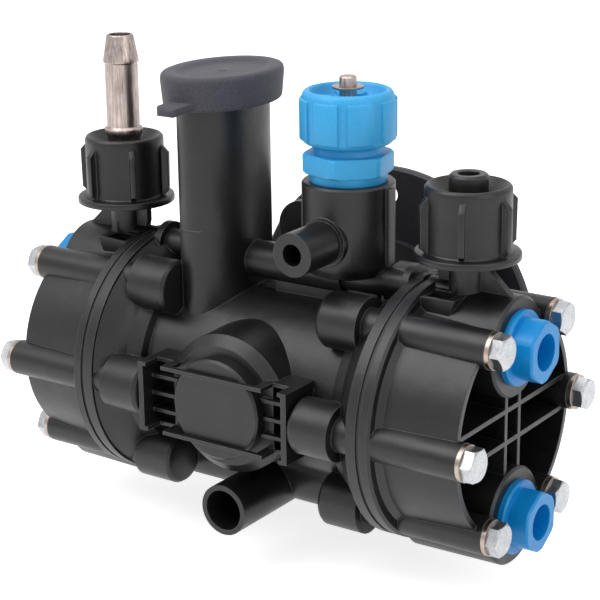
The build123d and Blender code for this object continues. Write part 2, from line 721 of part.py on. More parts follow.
# Diaphragm: flat rim, rolled ring, clamped centre, holes for the bolts and for both ducts
with BuildPart() as right_diaphragm:
    roll_mid = (PLATE_R + CAVITY_R) / 2
    roll_half = (CAVITY_R - PLATE_R) / 2 - 1
    low = FLANGE_FACE_X
    high = HEAD_FACE_X
    with BuildSketch(facing_front(0)) as section:
        with BuildLine():
            Line((low, STUD_R + FIT), (low, roll_mid - roll_half))
            ThreePointArc(
                (low, roll_mid - roll_half),
                (low - ROLL_DEPTH, roll_mid),
                (low, roll_mid + roll_half),
            )
            Line((low, roll_mid + roll_half), (low, FLANGE_R - 0.5))
            Line((low, FLANGE_R - 0.5), (high, FLANGE_R - 0.5))
            Line((high, FLANGE_R - 0.5), (high, roll_mid + roll_half - DIAPHRAGM_T))
            ThreePointArc(
                (high, roll_mid + roll_half - DIAPHRAGM_T),
                (high - ROLL_DEPTH, roll_mid),
                (high, roll_mid - roll_half + DIAPHRAGM_T),
            )
            Line((high, roll_mid - roll_half + DIAPHRAGM_T), (high, STUD_R + FIT))
            Line((high, STUD_R + FIT), (low, STUD_R + FIT))
        make_face()
    revolve(section.sketch, axis=Axis((0, HEADS_Y, 0), (1, 0, 0)))
    for y, z in bolt_places():
        post(facing_right(low - 1, y, z), BOLT_HOLE_R, DIAPHRAGM_T + 2, Mode.SUBTRACT)
    post(facing_right(low - 1, 0, DUCT_Z), DUCT_BORE_R, DIAPHRAGM_T + 2, Mode.SUBTRACT)
    post(facing_right(low - 1, 0, SUCTION_PORT_Z), SUCTION_PORT_R, DIAPHRAGM_T + 2, Mode.SUBTRACT)
right_diaphragm.part.label = "right_diaphragm"

# Outer plate and the countersunk screw that clamps plate, diaphragm and piston to the yoke
outer_plate_x = HEAD_FACE_X + OUTER_PLATE_T
with BuildPart() as right_outer_plate:
    turned_along_x(
        0,
        [
            (HEAD_FACE_X, STUD_R + FIT),
            (HEAD_FACE_X, PLATE_R - 0.4),
            (HEAD_FACE_X + 1, PLATE_R),
            (outer_plate_x, PLATE_R - 1.6),
            (outer_plate_x, STUD_HEAD_R + FIT),
            (outer_plate_x - STUD_HEAD_R + STUD_R, STUD_R + FIT),
        ],
    )
right_outer_plate.part.label = "right_outer_plate"

with BuildPart() as right_piston_screw:
    turned_along_x(
        0,
        [
            (STUD_END_X, 0),
            (STUD_END_X, STUD_R - 0.5),
            (STUD_END_X + 0.5, STUD_R),
            (outer_plate_x - STUD_HEAD_R + STUD_R, STUD_R),
            (outer_plate_x, STUD_HEAD_R),
            (outer_plate_x, 0),
        ],
    )
    with BuildSketch(facing_right(outer_plate_x)) as socket:
        RegularPolygon(2.0, 6, major_radius=False)
    extrude(socket.sketch, amount=-2.5, mode=Mode.SUBTRACT)
right_piston_screw.part.label = "right_piston_screw"

# Right head: flange, open drum with its lattice, bolt bosses, two valve barrels, delivery port
with BuildPart() as right_head:
    turned_along_x(
        0,
        [
            (HEAD_FACE_X, 0),
            (HEAD_FACE_X, FLANGE_R),
            (HEAD_FACE_X + HEAD_FLANGE_T - 0.8, FLANGE_R),
            (HEAD_FACE_X + HEAD_FLANGE_T, FLANGE_R - 0.8),
            (HEAD_FACE_X + HEAD_FLANGE_T, DRUM_ROOT_R + 1.6),
            (HEAD_FACE_X + HEAD_FLANGE_T + 2.0, DRUM_ROOT_R),
            (DRUM_RIM_X, DRUM_R),
            (DRUM_RIM_X, DRUM_R - DRUM_WALL),
            (POCKET_FLOOR_X, DRUM_ROOT_R - DRUM_WALL - 0.8),
            (POCKET_FLOOR_X, 0),
        ],
    )
    with BuildSketch(facing_right(POCKET_FLOOR_X)) as lattice:
        with GridLocations(2 * LATTICE_Y, 0, 2, 1):
            Rectangle(LATTICE_T, DELIVERY_Z - SUCTION_Z)
        with GridLocations(0, 2 * LATTICE_Z, 1, 2):
            Rectangle(2 * BOLT_CIRCLE_R, LATTICE_T)
    extrude(lattice.sketch, amount=LATTICE_X - POCKET_FLOOR_X)
    for y, z in bolt_places():
        post(facing_right(HEAD_FACE_X, y, z), BOLT_BOSS_R, SEAT_X - HEAD_FACE_X)
    for z in (DELIVERY_Z, SUCTION_Z):
        turned_along_x(
            z,
            [
                (HEAD_FACE_X, 0),
                (HEAD_FACE_X, RING_R + 0.4),
                (RING_FACE_X - 0.8, RING_R),
                (RING_FACE_X, RING_R - 0.8),
                (RING_FACE_X, 0),
            ],
        )
    turned_upright(
        PORT_X,
        [
            (0, DELIVERY_Z),
            (PORT_NECK_R + 1, DELIVERY_Z),
            (PORT_NECK_R, DELIVERY_Z + RING_R + 2),
            (PORT_NECK_R, PORT_THREAD_Z),
            (PORT_THREAD_R - 0.8, PORT_THREAD_Z),
            (PORT_THREAD_R, PORT_THREAD_Z + 0.8),
            (PORT_THREAD_R, PORT_TOP_Z - 1),
            (PORT_THREAD_R - 1, PORT_TOP_Z),
            (0, PORT_TOP_Z),
        ],
    )
    with BuildSketch(facing_front(-BLADE_T, PORT_X)) as gussets:
        with BuildLine():
            Polyline(*PORT_WEB, close=True)
        make_face()
    extrude(gussets.sketch, amount=-2 * BLADE_T)
    post(facing_right(HEAD_FACE_X, 0, DUCT_Z), DUCT_BOSS_R, PORT_X - HEAD_FACE_X)
    with BuildSketch(facing_front(LUG_FRONT_Y)) as lug:
        with BuildLine():
            Polyline(*LUG_OUTLINE, close=True)
        make_face()
    extrude(lug.sketch, amount=-LUG_DEPTH)
    lug_x = (LUG_OUTLINE[1][0] + LUG_OUTLINE[2][0]) / 2
    lug_top_z = LUG_OUTLINE[3][1]
    with Locations((lug_x, HEADS_Y + LUG_FRONT_Y + LUG_DEPTH / 2, lug_top_z)):
        Box(LUG_POCKET[0], LUG_POCKET[1], 2 * LUG_POCKET[2], mode=Mode.SUBTRACT)

    # Working chamber, valve bores and the passages between them
    turned_along_x(
        0,
        [
            (HEAD_FACE_X, 0),
            (HEAD_FACE_X, CAVITY_R),
            (CHAMBER_FLOOR_X - 2, CAVITY_R - 3),
            (CHAMBER_FLOOR_X, CAVITY_R - 8),
            (CHAMBER_FLOOR_X, 0),
        ],
        Mode.SUBTRACT,
    )
    for z in (DELIVERY_Z, SUCTION_Z):
        post(facing_right(VALVE_FLOOR_X, 0, z), VALVE_BORE_R, RING_FACE_X - VALVE_FLOOR_X, Mode.SUBTRACT)
    post(facing_right(CHAMBER_FLOOR_X - 4, 0, DELIVERY_Z - 4), 3.5, 8, Mode.SUBTRACT)
    post(facing_right(HEAD_FACE_X, 0, SUCTION_PORT_Z), SUCTION_PORT_R, 10, Mode.SUBTRACT)
    passage_z = SUCTION_Z + VALVE_BORE_R + 2.6
    post(facing_right(CHAMBER_FLOOR_X - 4, 0, passage_z), PASSAGE_R, 15, Mode.SUBTRACT)
    post(facing_up(SUCTION_Z, PORT_X + 1.5), RISER_R, passage_z - SUCTION_Z, Mode.SUBTRACT)
    post(facing_up(DELIVERY_Z + 9, PORT_X), PORT_BORE_R, PORT_TOP_Z, Mode.SUBTRACT)
    post(facing_right(HEAD_FACE_X, 0, DUCT_Z), DUCT_BORE_R, PORT_X - HEAD_FACE_X, Mode.SUBTRACT)
    for y, z in bolt_places():
        post(facing_right(HEAD_FACE_X, y, z), BOLT_HOLE_R, SEAT_X, Mode.SUBTRACT)
right_head.part.label = "right_head"

# Valve parts, made for the right delivery valve's axis and moved to the other three
disc_x = VALVE_FLOOR_X + VALVE_SEAT_T
stem_end_x = disc_x + VALVE_DISC_T + VALVE_STEM_LENGTH
guide_depth = stem_end_x + VALVE_LIFT + 2 - PLUG_INNER_X
with BuildPart() as plug_form:
    turned_along_x(
        0,
        [
            (PLUG_INNER_X, 0),
            (PLUG_INNER_X, VALVE_BORE_R - 0.8),
            (PLUG_INNER_X + 0.7, VALVE_BORE_R - FIT),
            (RING_FACE_X, VALVE_BORE_R - FIT),
            (RING_FACE_X, PLUG_FLANGE_R),
            (RING_FACE_X + PLUG_FLANGE_T - 0.6, PLUG_FLANGE_R),
            (RING_FACE_X + PLUG_FLANGE_T, PLUG_FLANGE_R - 0.6),
            (RING_FACE_X + PLUG_FLANGE_T, 0),
        ],
    )
    with BuildSketch(facing_right(RING_FACE_X + PLUG_FLANGE_T)) as hexagon:
        RegularPolygon(PLUG_HEX_AF / 2, 6, major_radius=False, rotation=30)
        Circle(PLUG_CORNERS_R, mode=Mode.INTERSECT)
    extrude(hexagon.sketch, amount=PLUG_END_X - RING_FACE_X - PLUG_FLANGE_T)
    chamfer(edges().group_by(Axis.X)[-1], 0.6)
    post(facing_right(PLUG_END_X - PLUG_HOLE_DEPTH), PLUG_HOLE_R, PLUG_HOLE_DEPTH, Mode.SUBTRACT)
    post(facing_right(PLUG_INNER_X), VALVE_STEM_R + FIT, guide_depth, Mode.SUBTRACT)
    turned_along_x(
        0,
        [
            (PLUG_GROOVE_X, VALVE_BORE_R),
            (PLUG_GROOVE_X, VALVE_BORE_R - 2 * FIT - 2 * RING_WIRE_R),
            (PLUG_GROOVE_X + 2 * RING_WIRE_R, VALVE_BORE_R - 2 * FIT - 2 * RING_WIRE_R),
            (PLUG_GROOVE_X + 2 * RING_WIRE_R, VALVE_BORE_R),
        ],
        Mode.SUBTRACT,
    )

with BuildPart() as valve_seat_form:
    turned_along_x(
        0,
        [
            (VALVE_FLOOR_X, VALVE_SEAT_BORE_R),
            (VALVE_FLOOR_X, VALVE_BORE_R - FIT),
            (VALVE_FLOOR_X + VALVE_SEAT_T, VALVE_BORE_R - FIT),
            (VALVE_FLOOR_X + VALVE_SEAT_T, VALVE_SEAT_BORE_R + 0.8),
            (VALVE_FLOOR_X + VALVE_SEAT_T - 0.8, VALVE_SEAT_BORE_R),
        ],
    )

with BuildPart() as valve_disc_form:
    turned_along_x(
        0,
        [
            (disc_x, 0),
            (disc_x, VALVE_DISC_R - 0.3),
            (disc_x + 0.3, VALVE_DISC_R),
            (disc_x + VALVE_DISC_T, VALVE_DISC_R),
            (disc_x + VALVE_DISC_T, VALVE_STEM_R),
            (stem_end_x, VALVE_STEM_R),
            (stem_end_x, 0),
        ],
    )

spring_x = disc_x + VALVE_DISC_T + VALVE_SPRING_WIRE_R
spring_length = PLUG_INNER_X - spring_x - VALVE_SPRING_WIRE_R
with BuildPart() as valve_spring_form:
    with BuildLine() as coil:
        Helix(
            spring_length / VALVE_SPRING_TURNS,
            spring_length,
            VALVE_SPRING_MEAN_R,
            center=(spring_x, HEADS_Y, 0),
            direction=(1, 0, 0),
        )
    with BuildSketch(Plane(coil.line @ 0, z_dir=coil.line % 0)) as wire:
        RegularPolygon(VALVE_SPRING_WIRE_R, 6)
    sweep(wire.sketch, path=coil.line)

with BuildPart() as seal_form:
    with BuildSketch(facing_front(0)) as ring_section:
        with Locations((PLUG_GROOVE_X + RING_WIRE_R, VALVE_BORE_R - FIT - RING_WIRE_R)):
            Circle(RING_WIRE_R)
    revolve(ring_section.sketch, axis=Axis((0, HEADS_Y, 0), (1, 0, 0)))

valve_nodes = []
for side in ("right", "left"):
    for kind, height in (("delivery", DELIVERY_Z), ("suction", SUCTION_Z)):
        for form, name in (
            (plug_form, "valve_plug"),
            (valve_seat_form, "valve_seat"),
            (valve_disc_form, "valve_disc"),
            (valve_spring_form, "valve_spring"),
        ):
            with BuildPart() as copy:
                with Locations((0, 0, height)):
                    add(form.part)
                if side == "left":
                    mirror(about=Plane.YZ)
                    split(bisect_by=Plane.YZ, keep=Keep.BOTTOM)
            copy.part.label = f"{side}_{kind}_{name}"
            valve_nodes.append(copy.part)

with BuildPart() as plug_seals:
    for height in (DELIVERY_Z, SUCTION_Z):
        with Locations((0, 0, height)):
            add(seal_form.part)
    mirror(about=Plane.YZ)
plug_seals.part.label = "plug_seals"

# Wing nuts on the delivery ports: one form, stopped at a different turn on each side
wing_nuts = []
for side, x in (("right", PORT_X), ("left", -PORT_X)):
    with BuildPart() as wing_nut:
        turned_upright(
            x,
            [
                (PORT_THREAD_R + FIT, NUT_Z),
                (NUT_FLANGE_R, NUT_Z),
                (NUT_FLANGE_R, NUT_Z + NUT_FLANGE_T - 0.8),
                (NUT_FLANGE_R - 1, NUT_Z + NUT_FLANGE_T),
                (NUT_R, NUT_Z + NUT_FLANGE_T + 0.6),
                (NUT_R, NUT_TOP_Z - 1.6),
                (NUT_R - 0.5, NUT_TOP_Z - 0.5),
                (NUT_R - 1.5, NUT_TOP_Z),
                (NUT_MOUTH_R, NUT_TOP_Z - 0.3),
                (NUT_EYE_R, NUT_TOP_Z - 4.6),
                (NUT_EYE_R, NUT_CEILING_Z),
                (PORT_THREAD_R + FIT, NUT_CEILING_Z),
            ],
        )
        with BuildSketch(facing_front(-FIN_T / 2, x)) as fin:
            with BuildLine():
                Polyline(
                    (NUT_R - 1, NUT_Z + 1),
                    (FIN_R, NUT_Z + 1),
                    (FIN_R, NUT_TOP_Z - 6.0),
                    (NUT_R, NUT_TOP_Z - 3.4),
                    (NUT_R - 1, NUT_TOP_Z - 3.4),
                    close=True,
                )
            make_face()
        fin_blade = extrude(fin.sketch, amount=-FIN_T, mode=Mode.PRIVATE)
        for n in range(FINS):
            turn = FIN_TURN[side] + n * 360 / FINS
            add(fin_blade.rotate(Axis((x, HEADS_Y, 0), (0, 0, 1)), turn))
    wing_nut.part.label = f"{side}_wing_nut"
    wing_nuts.append(wing_nut.part)

tail_z = PORT_TOP_Z + GASKET_T
with BuildPart() as outlet_stub:
    turned_upright(
        PORT_X,
        [
            (STUB_BORE_R, tail_z),
            (TAIL_FLANGE_R, tail_z),
            (TAIL_FLANGE_R, tail_z + TAIL_FLANGE_T),
            (STUB_R, tail_z + TAIL_FLANGE_T),
            (STUB_R, STUB_TOP_Z - 0.7),
            (STUB_R - 0.7, STUB_TOP_Z),
            (STUB_BORE_R + 0.3, STUB_TOP_Z),
            (STUB_BORE_R, STUB_TOP_Z - 0.3),
        ],
    )
outlet_stub.part.label = "outlet_stub"

with BuildPart() as hose_barb:
    turned_upright(
        -PORT_X,
        [
            (BARB_BORE_R, tail_z),
            (TAIL_FLANGE_R, tail_z),
            (TAIL_FLANGE_R, tail_z + TAIL_FLANGE_T),
            (BARB_R, tail_z + TAIL_FLANGE_T),
            (BARB_R, BARB_COLLAR_Z - 2),
            (BARB_COLLAR_R, BARB_COLLAR_Z),
            (BARB_COLLAR_R, BARB_COLLAR_Z + 1.4),
            (BARB_R, BARB_COLLAR_Z + 2.2),
            (BARB_R, BARB_TOP_Z - BARB_CONE_L - 0.5),
            (BARB_CONE_R, BARB_TOP_Z - BARB_CONE_L),
            (BARB_CONE_R, BARB_TOP_Z - BARB_CONE_L + 0.5),
            (BARB_TIP_R, BARB_TOP_Z - 0.3),
            (BARB_TIP_R - 0.3, BARB_TOP_Z),
            (BARB_BORE_R, BARB_TOP_Z),
        ],
    )
hose_barb.part.label = "hose_barb"

with BuildPart() as port_gaskets:
    for x in (PORT_X, -PORT_X):
        turned_upright(
            x,
            [
                (PORT_BORE_R, PORT_TOP_Z),
                (TAIL_FLANGE_R - 0.6, PORT_TOP_Z),
                (TAIL_FLANGE_R - 0.6, tail_z),
                (PORT_BORE_R, tail_z),
            ],
        )
port_gaskets.part.label = "port_gaskets"

# Pressure regulator: seat, stem with poppet, spring, collar, spring seat, knob
seat_top_z = RELIEF_FLOOR_Z + SEAT_T
with BuildPart() as relief_seat:
    turned_upright(
        REG_X,
        [
            (RELIEF_PORT_R, RELIEF_FLOOR_Z),
            (RELIEF_CHAMBER_R - FIT, RELIEF_FLOOR_Z),
            (RELIEF_CHAMBER_R - FIT, seat_top_z),
            (RELIEF_PORT_R + 0.8, seat_top_z),
            (RELIEF_PORT_R, seat_top_z - 0.8),
        ],
    )
relief_seat.part.label = "relief_seat"

poppet_top_z = seat_top_z + 3.5
with BuildPart() as relief_stem:
    turned_upright(
        REG_X,
        [
            (0, seat_top_z),
            (POPPET_R - 1, seat_top_z),
            (POPPET_R, seat_top_z + 1),
            (POPPET_R, seat_top_z + 2),
            (COLLAR_BORE_R - 0.6, seat_top_z + 2),
            (COLLAR_BORE_R - 0.6, poppet_top_z),
            (STEM_R, poppet_top_z),
            (STEM_R, CLIP_Z),
            (STEM_R - 0.7, CLIP_Z),
            (STEM_R - 0.7, CLIP_Z + CLIP_T),
            (STEM_R, CLIP_Z + CLIP_T),
            (STEM_R, STEM_TOP_Z - 0.5),
            (STEM_R - 0.5, STEM_TOP_Z),
            (0, STEM_TOP_Z),
        ],
    )
relief_stem.part.label = "relief_stem"

with BuildPart() as stem_clip:
    turned_upright(
        REG_X,
        [
            (STEM_R - 0.7, CLIP_Z),
            (CLIP_R, CLIP_Z),
            (CLIP_R, CLIP_Z + CLIP_T),
            (STEM_R - 0.7, CLIP_Z + CLIP_T),
        ],
    )
stem_clip.part.label = "stem_clip"

spring_z = poppet_top_z + SPRING_WIRE_R
spring_height = SEAT_PLATE_Z - SPRING_WIRE_R - spring_z
with BuildPart() as relief_spring:
    with BuildLine() as big_coil:
        Helix(
            spring_height / SPRING_TURNS,
            spring_height,
            SPRING_MEAN_R,
            center=(REG_X, HEADS_Y, spring_z),
        )
    with BuildSketch(Plane(big_coil.line @ 0, z_dir=big_coil.line % 0)) as big_wire:
        RegularPolygon(SPRING_WIRE_R, 8)
    sweep(big_wire.sketch, path=big_coil.line)
relief_spring.part.label = "relief_spring"

with BuildPart() as pressure_collar:
    turned_upright(
        REG_X,
        [
            (COLLAR_BORE_R, COLLAR_FOOT_Z),
            (THREAD_R - 0.8, COLLAR_FOOT_Z),
            (THREAD_R, COLLAR_FOOT_Z + 0.8),
            (THREAD_R, COLLAR_FOOT_Z + 3.0 - RING_WIRE_R),
            (THREAD_R - 2 * RING_WIRE_R, COLLAR_FOOT_Z + 3.0 - RING_WIRE_R),
            (THREAD_R - 2 * RING_WIRE_R, COLLAR_FOOT_Z + 3.0 + RING_WIRE_R),
            (THREAD_R, COLLAR_FOOT_Z + 3.0 + RING_WIRE_R),
            (THREAD_R, REG_TOP_Z),
            (COLLAR_SHOULDER_R, REG_TOP_Z),
            (COLLAR_SHOULDER_R, HEX_Z + HEX_T / 2),
            (NECK_R, HEX_Z + HEX_T / 2),
            (NECK_R, HEX_Z + HEX_T + 1.0),
            (NECK_R - 0.5, HEX_Z + HEX_T + 1.4),
            (NECK_R - 0.5, HEX_Z + HEX_T + 1.8),
            (NECK_R, HEX_Z + HEX_T + 2.2),
            (NECK_R, NECK_TOP_Z - 0.6),
            (NECK_R - 0.6, NECK_TOP_Z),
            (COLLAR_BORE_R, NECK_TOP_Z),
        ],
    )
    with BuildSketch(facing_up(HEX_Z, REG_X)) as collar_hexagon:
        RegularPolygon(HEX_AF / 2, 6, major_radius=False, rotation=HEX_TURN)
        Circle(HEX_CORNERS_R, mode=Mode.INTERSECT)
        Circle(NECK_R - 1, mode=Mode.SUBTRACT)
    extrude(collar_hexagon.sketch, amount=HEX_T)
pressure_collar.part.label = "pressure_collar"

hub_z = SEAT_PLATE_Z + 1.8
with BuildPart() as spring_seat:
    turned_upright(
        REG_X,
        [
            (STEM_R + GAP, SEAT_PLATE_Z),
            (COLLAR_BORE_R - GAP, SEAT_PLATE_Z),
            (COLLAR_BORE_R - GAP, hub_z),
            (STEM_R + GAP, hub_z),
        ],
    )
spring_seat.part.label = "spring_seat"

with BuildPart() as pressure_knob:
    turned_upright(
        REG_X,
        [
            (NECK_R + GAP, KNOB_Z),
            (KNOB_BODY_R - 1.2, KNOB_Z),
            (KNOB_BODY_R, KNOB_Z + 1.4),
            (KNOB_BODY_R, KNOB_TOP_Z - 2.0),
            (KNOB_BODY_R - 0.5, KNOB_TOP_Z - 1.0),
            (KNOB_BODY_R - 1.6, KNOB_TOP_Z),
            (KNOB_DISH_R + 0.5, KNOB_TOP_Z),
            (KNOB_DISH_R, KNOB_TOP_Z - 0.5),
            (KNOB_DISH_R - 1, KNOB_FLOOR_Z),
            (STEM_R + GAP, KNOB_FLOOR_Z),
            (STEM_R + GAP, hub_z),
            (KNOB_HUB_R, hub_z),
            (KNOB_HUB_R, KNOB_WEB_Z),
            (NECK_R + GAP, KNOB_WEB_Z),
        ],
    )
    with BuildSketch(facing_up(KNOB_Z + 1.6, REG_X)) as pads:
        with PolarLocations(0, KNOB_PADS, start_angle=KNOB_PAD_TURN):
            with Locations((KNOB_BODY_R - 0.4, 0)):
                RectangleRounded(2 * (KNOB_R - KNOB_BODY_R + 0.4), KNOB_PAD_W, 0.6)
    extrude(pads.sketch, amount=KNOB_TOP_Z - KNOB_Z - 4.3)
    with BuildSketch(facing_up(KNOB_FLOOR_Z, REG_X)) as spokes:
        with PolarLocations(0, 8):
            with Locations((KNOB_DISH_R / 2 + 3, 0)):
                Rectangle(KNOB_DISH_R - 6, 1.2)
    extrude(spokes.sketch, amount=1.2)
pressure_knob.part.label = "pressure_knob"

with BuildPart() as collar_seal:
    seal_groove_z = COLLAR_FOOT_Z + 3.0
    with BuildSketch(side_view(REG_X)) as collar_ring:
        with Locations((THREAD_R - RING_WIRE_R, seal_groove_z)):
            Circle(RING_WIRE_R)
    revolve(collar_ring.sketch, axis=Axis((REG_X, HEADS_Y, 0), (0, 0, 1)))
collar_seal.part.label = "collar_seal"

# Rubber oil cap: oval, dished on top, with a pull tab towards the front
with BuildPart() as oil_cap:
    oval_post(facing_up(CAP_FOOT_Z, TUBE_X), CAP_HALF, 0, CAP_TOP_Z - CAP_FOOT_Z)
    fillet(edges().group_by(Axis.Z)[-1], 2.0)
    fillet(edges().group_by(Axis.Z)[0], 0.8)
    with BuildSketch(facing_up(TAB_Z, TUBE_X + TAB_X)) as tab:
        with Locations((0, (TAB_TIP_Y - CAP_HALF[1]) / 2)):
            RectangleRounded(TAB_W, CAP_HALF[1] - TAB_TIP_Y - 2 * CAP_HALF[1] + 6, 2.4)
    extrude(tab.sketch, amount=TAB_T)
    oval_post(
        facing_up(CAP_TOP_Z - CAP_DISH_DEPTH, TUBE_X), CAP_DISH_HALF, 0, CAP_DISH_DEPTH, Mode.SUBTRACT
    )
    chamfer(edges().group_by(Axis.Z)[-1], CAP_DISH_DEPTH - 0.2)
    oval_post(
        facing_up(CAP_FOOT_Z - 1, TUBE_X),
        TUBE_HALF,
        BEAD_OUT + FIT,
        TUBE_TOP_Z - CAP_FOOT_Z + 1,
        Mode.SUBTRACT,
    )
oil_cap.part.label = "oil_cap"

# Head bolts and washers, one group of each on the right head
bolt_top_x = SEAT_X + WASHER_T + BOLT_HEAD_T
with BuildPart() as right_head_bolts:
    for y, z in bolt_places():
        post(facing_right(BOLT_END_X, y, z), BOLT_R, SEAT_X + WASHER_T - BOLT_END_X)
        with BuildSketch(facing_right(SEAT_X + WASHER_T, y, z)) as bolt_head:
            RegularPolygon(BOLT_AF / 2, 6, major_radius=False, rotation=15 + 20 * y / BOLT_CIRCLE_R)
        extrude(bolt_head.sketch, amount=BOLT_HEAD_T)
        turned_along_x(
            z,
            [
                (bolt_top_x, BOLT_FACE_R),
                (bolt_top_x, BOLT_FACE_R + 1.4),
                (bolt_top_x - 1.4 * tan(radians(30)), BOLT_FACE_R + 1.4),
            ],
            Mode.SUBTRACT,
            y,
        )
right_head_bolts.part.label = "right_head_bolts"

with BuildPart() as right_head_washers:
    for y, z in bolt_places():
        post(facing_right(SEAT_X, y, z), WASHER_R, WASHER_T)
        post(facing_right(SEAT_X, y, z), BOLT_HOLE_R, WASHER_T, Mode.SUBTRACT)
right_head_washers.part.label = "right_head_washers"

# What the left side has as a mirror image
mirrored_nodes = []
for source in (
    right_piston,
    right_diaphragm,
    right_outer_plate,
    right_piston_screw,
    right_head,
    right_head_bolts,
    right_head_washers,
):
    with BuildPart() as twin:
        mirror(source.part, about=Plane.YZ)
    twin.part.label = source.part.label.replace("right", "left")
    mirrored_nodes.append(twin.part)

os.makedirs("parts", exist_ok=True)
single_nodes = [
    crankcase,
    front_bearing_cap,
    front_bearing,
    rear_bearing,
    eccentric_bearing,
    crankshaft,
    motor_flange,
    shaft_seal,
    flange_screws,
    yoke,
    right_piston,
    right_diaphragm,
    right_outer_plate,
    right_piston_screw,
    right_head,
    plug_seals,
    outlet_stub,
    hose_barb,
    port_gaskets,
    relief_seat,
    relief_stem,
    stem_clip,
    relief_spring,
    pressure_collar,
    spring_seat,
    pressure_knob,
    collar_seal,
    oil_cap,
    right_head_bolts,
    right_head_washers,
]
for node in [piece.part for piece in single_nodes] + wing_nuts + valve_nodes + mirrored_nodes:
    export_step(node, f"parts/{node.label}.step")
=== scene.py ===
from math import atan2, cos, degrees, hypot, radians, sin

import bmesh
import bpy
from bpy.props import FloatProperty, FloatVectorProperty, PointerProperty
from bpy.types import Operator, Panel, PropertyGroup
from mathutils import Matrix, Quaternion, Vector


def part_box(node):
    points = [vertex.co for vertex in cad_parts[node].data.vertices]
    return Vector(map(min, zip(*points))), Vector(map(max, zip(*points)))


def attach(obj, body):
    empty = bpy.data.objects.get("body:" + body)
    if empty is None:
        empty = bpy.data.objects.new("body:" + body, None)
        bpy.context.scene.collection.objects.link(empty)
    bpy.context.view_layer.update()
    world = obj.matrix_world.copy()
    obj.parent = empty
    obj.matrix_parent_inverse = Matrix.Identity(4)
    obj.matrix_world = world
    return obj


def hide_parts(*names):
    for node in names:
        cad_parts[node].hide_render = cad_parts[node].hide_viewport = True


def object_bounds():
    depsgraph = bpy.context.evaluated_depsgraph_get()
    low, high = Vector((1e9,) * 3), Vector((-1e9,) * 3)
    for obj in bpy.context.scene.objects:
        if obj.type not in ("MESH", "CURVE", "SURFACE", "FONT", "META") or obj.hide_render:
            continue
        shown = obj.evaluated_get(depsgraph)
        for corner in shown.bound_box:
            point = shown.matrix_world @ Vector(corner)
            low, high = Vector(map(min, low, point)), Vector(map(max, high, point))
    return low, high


bl_info = {
    "name": "Twin Diaphragm Pump",
    "version": (1, 0, 0),
    "blender": (4, 5, 0),
    "location": "View3D > Sidebar > Pump",
    "description": "Finishes the packed pump and sets it in a plain studio",
    "category": "Object",
}

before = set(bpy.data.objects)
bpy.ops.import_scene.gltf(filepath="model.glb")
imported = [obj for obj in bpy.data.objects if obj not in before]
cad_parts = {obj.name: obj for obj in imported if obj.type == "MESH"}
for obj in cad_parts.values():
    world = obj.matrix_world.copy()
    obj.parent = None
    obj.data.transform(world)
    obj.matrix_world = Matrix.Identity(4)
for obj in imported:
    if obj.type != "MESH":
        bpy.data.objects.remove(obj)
CAD_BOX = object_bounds()
MM = 0.001

BLACK_MOULDINGS = ("crankcase", "front_bearing_cap", "right_head", "left_head")
STUB_NODES = ("outlet_stub",)
FLANGE_NODES = ("motor_flange",)
SCREW_NODES = ("flange_screws", "right_piston_screw", "left_piston_screw")
BEARING_NODES = ("front_bearing", "rear_bearing", "eccentric_bearing")
SEAL_NODES = ("plug_seals", "port_gaskets", "collar_seal", "shaft_seal")
PLUG_NODES = tuple(f"{s}_{k}_valve_plug" for s in ("right", "left") for k in ("delivery", "suction"))
SEAT_NODES = tuple(n.replace("plug", "seat") for n in PLUG_NODES)
DISC_NODES = tuple(n.replace("plug", "disc") for n in PLUG_NODES)
VALVE_SPRINGS = tuple(n.replace("plug", "spring") for n in PLUG_NODES)

# Facets of a turned form, and the degrees past which an edge stays sharp.
RING_STEPS = 96
STEP_ANGLE = 360 / RING_STEPS
CREASE = 28
# Points nearer than this are one point.
MERGE = 0.001 * MM
# Width of the slow unevenness that every moulded or plated skin has.
WAVE_LENGTH = 9 * MM
# The heads' axis runs along X here; the filler tube stands over it.
HEADS_Y = -70 * MM


def linear_colour(hex_code):
    """An sRGB hex colour as linear red, green and blue."""
    channels = [int(hex_code[i : i + 2], 16) / 255 for i in (0, 2, 4)]
    return tuple(c / 12.92 if c <= 0.04045 else ((c + 0.055) / 1.055) ** 2.4 for c in channels)


def colour_field(name, note, hex_code):
    return FloatVectorProperty(
        name=name,
        description=note,
        subtype="COLOR",
        size=3,
        min=0,
        max=1,
        default=linear_colour(hex_code),
    )


def length_field(name, note, metres):
    return FloatProperty(name=name, description=note, unit="LENGTH", subtype="DISTANCE", default=metres)


def angle_field(name, note, turn):
    return FloatProperty(name=name, description=note, subtype="ANGLE", default=radians(turn))


class MouldingFinish(PropertyGroup):
    """Colours and grain of the black mouldings and of the rubber."""

    nylon: colour_field("Nylon", "Glass-filled nylon of the crankcase and heads", "141214")
    # Colour that every nylon edge is lightened to: partly rubbing, partly a painted highlight.
    rubbed: colour_field("Rubbed edge", "Nylon where handling has greyed an edge", "6B6669")
    flange: colour_field("Motor flange", "Coated disc behind the pump", "232227")
    rubber: colour_field("Cap rubber", "Matt rubber of the oil cap", "3D3C45")
    grain: length_field("Grain", "Width of the mould's spark-eroded grain", 0.5 * MM)
    edge: length_field("Edge round", "Radius that a mould leaves on every edge", 0.45 * MM)


class FittingFinish(PropertyGroup):
    """Colours of the fittings."""

    plug_blue: colour_field("Plug blue", "Deep blue acetal of the valve plugs", "0086CC")
    knob_blue: colour_field("Knob blue", "Lighter blue nylon of the knob and its collar", "34A0D8")
    zinc: colour_field("Zinc", "Bright zinc plate on the bolts", "AEB0B3")
    washer: colour_field("Washer steel", "Stamped stainless washers", "A3968D")
    nickel: colour_field("Nickel", "Nickel plate of the hose barb", "A59893")


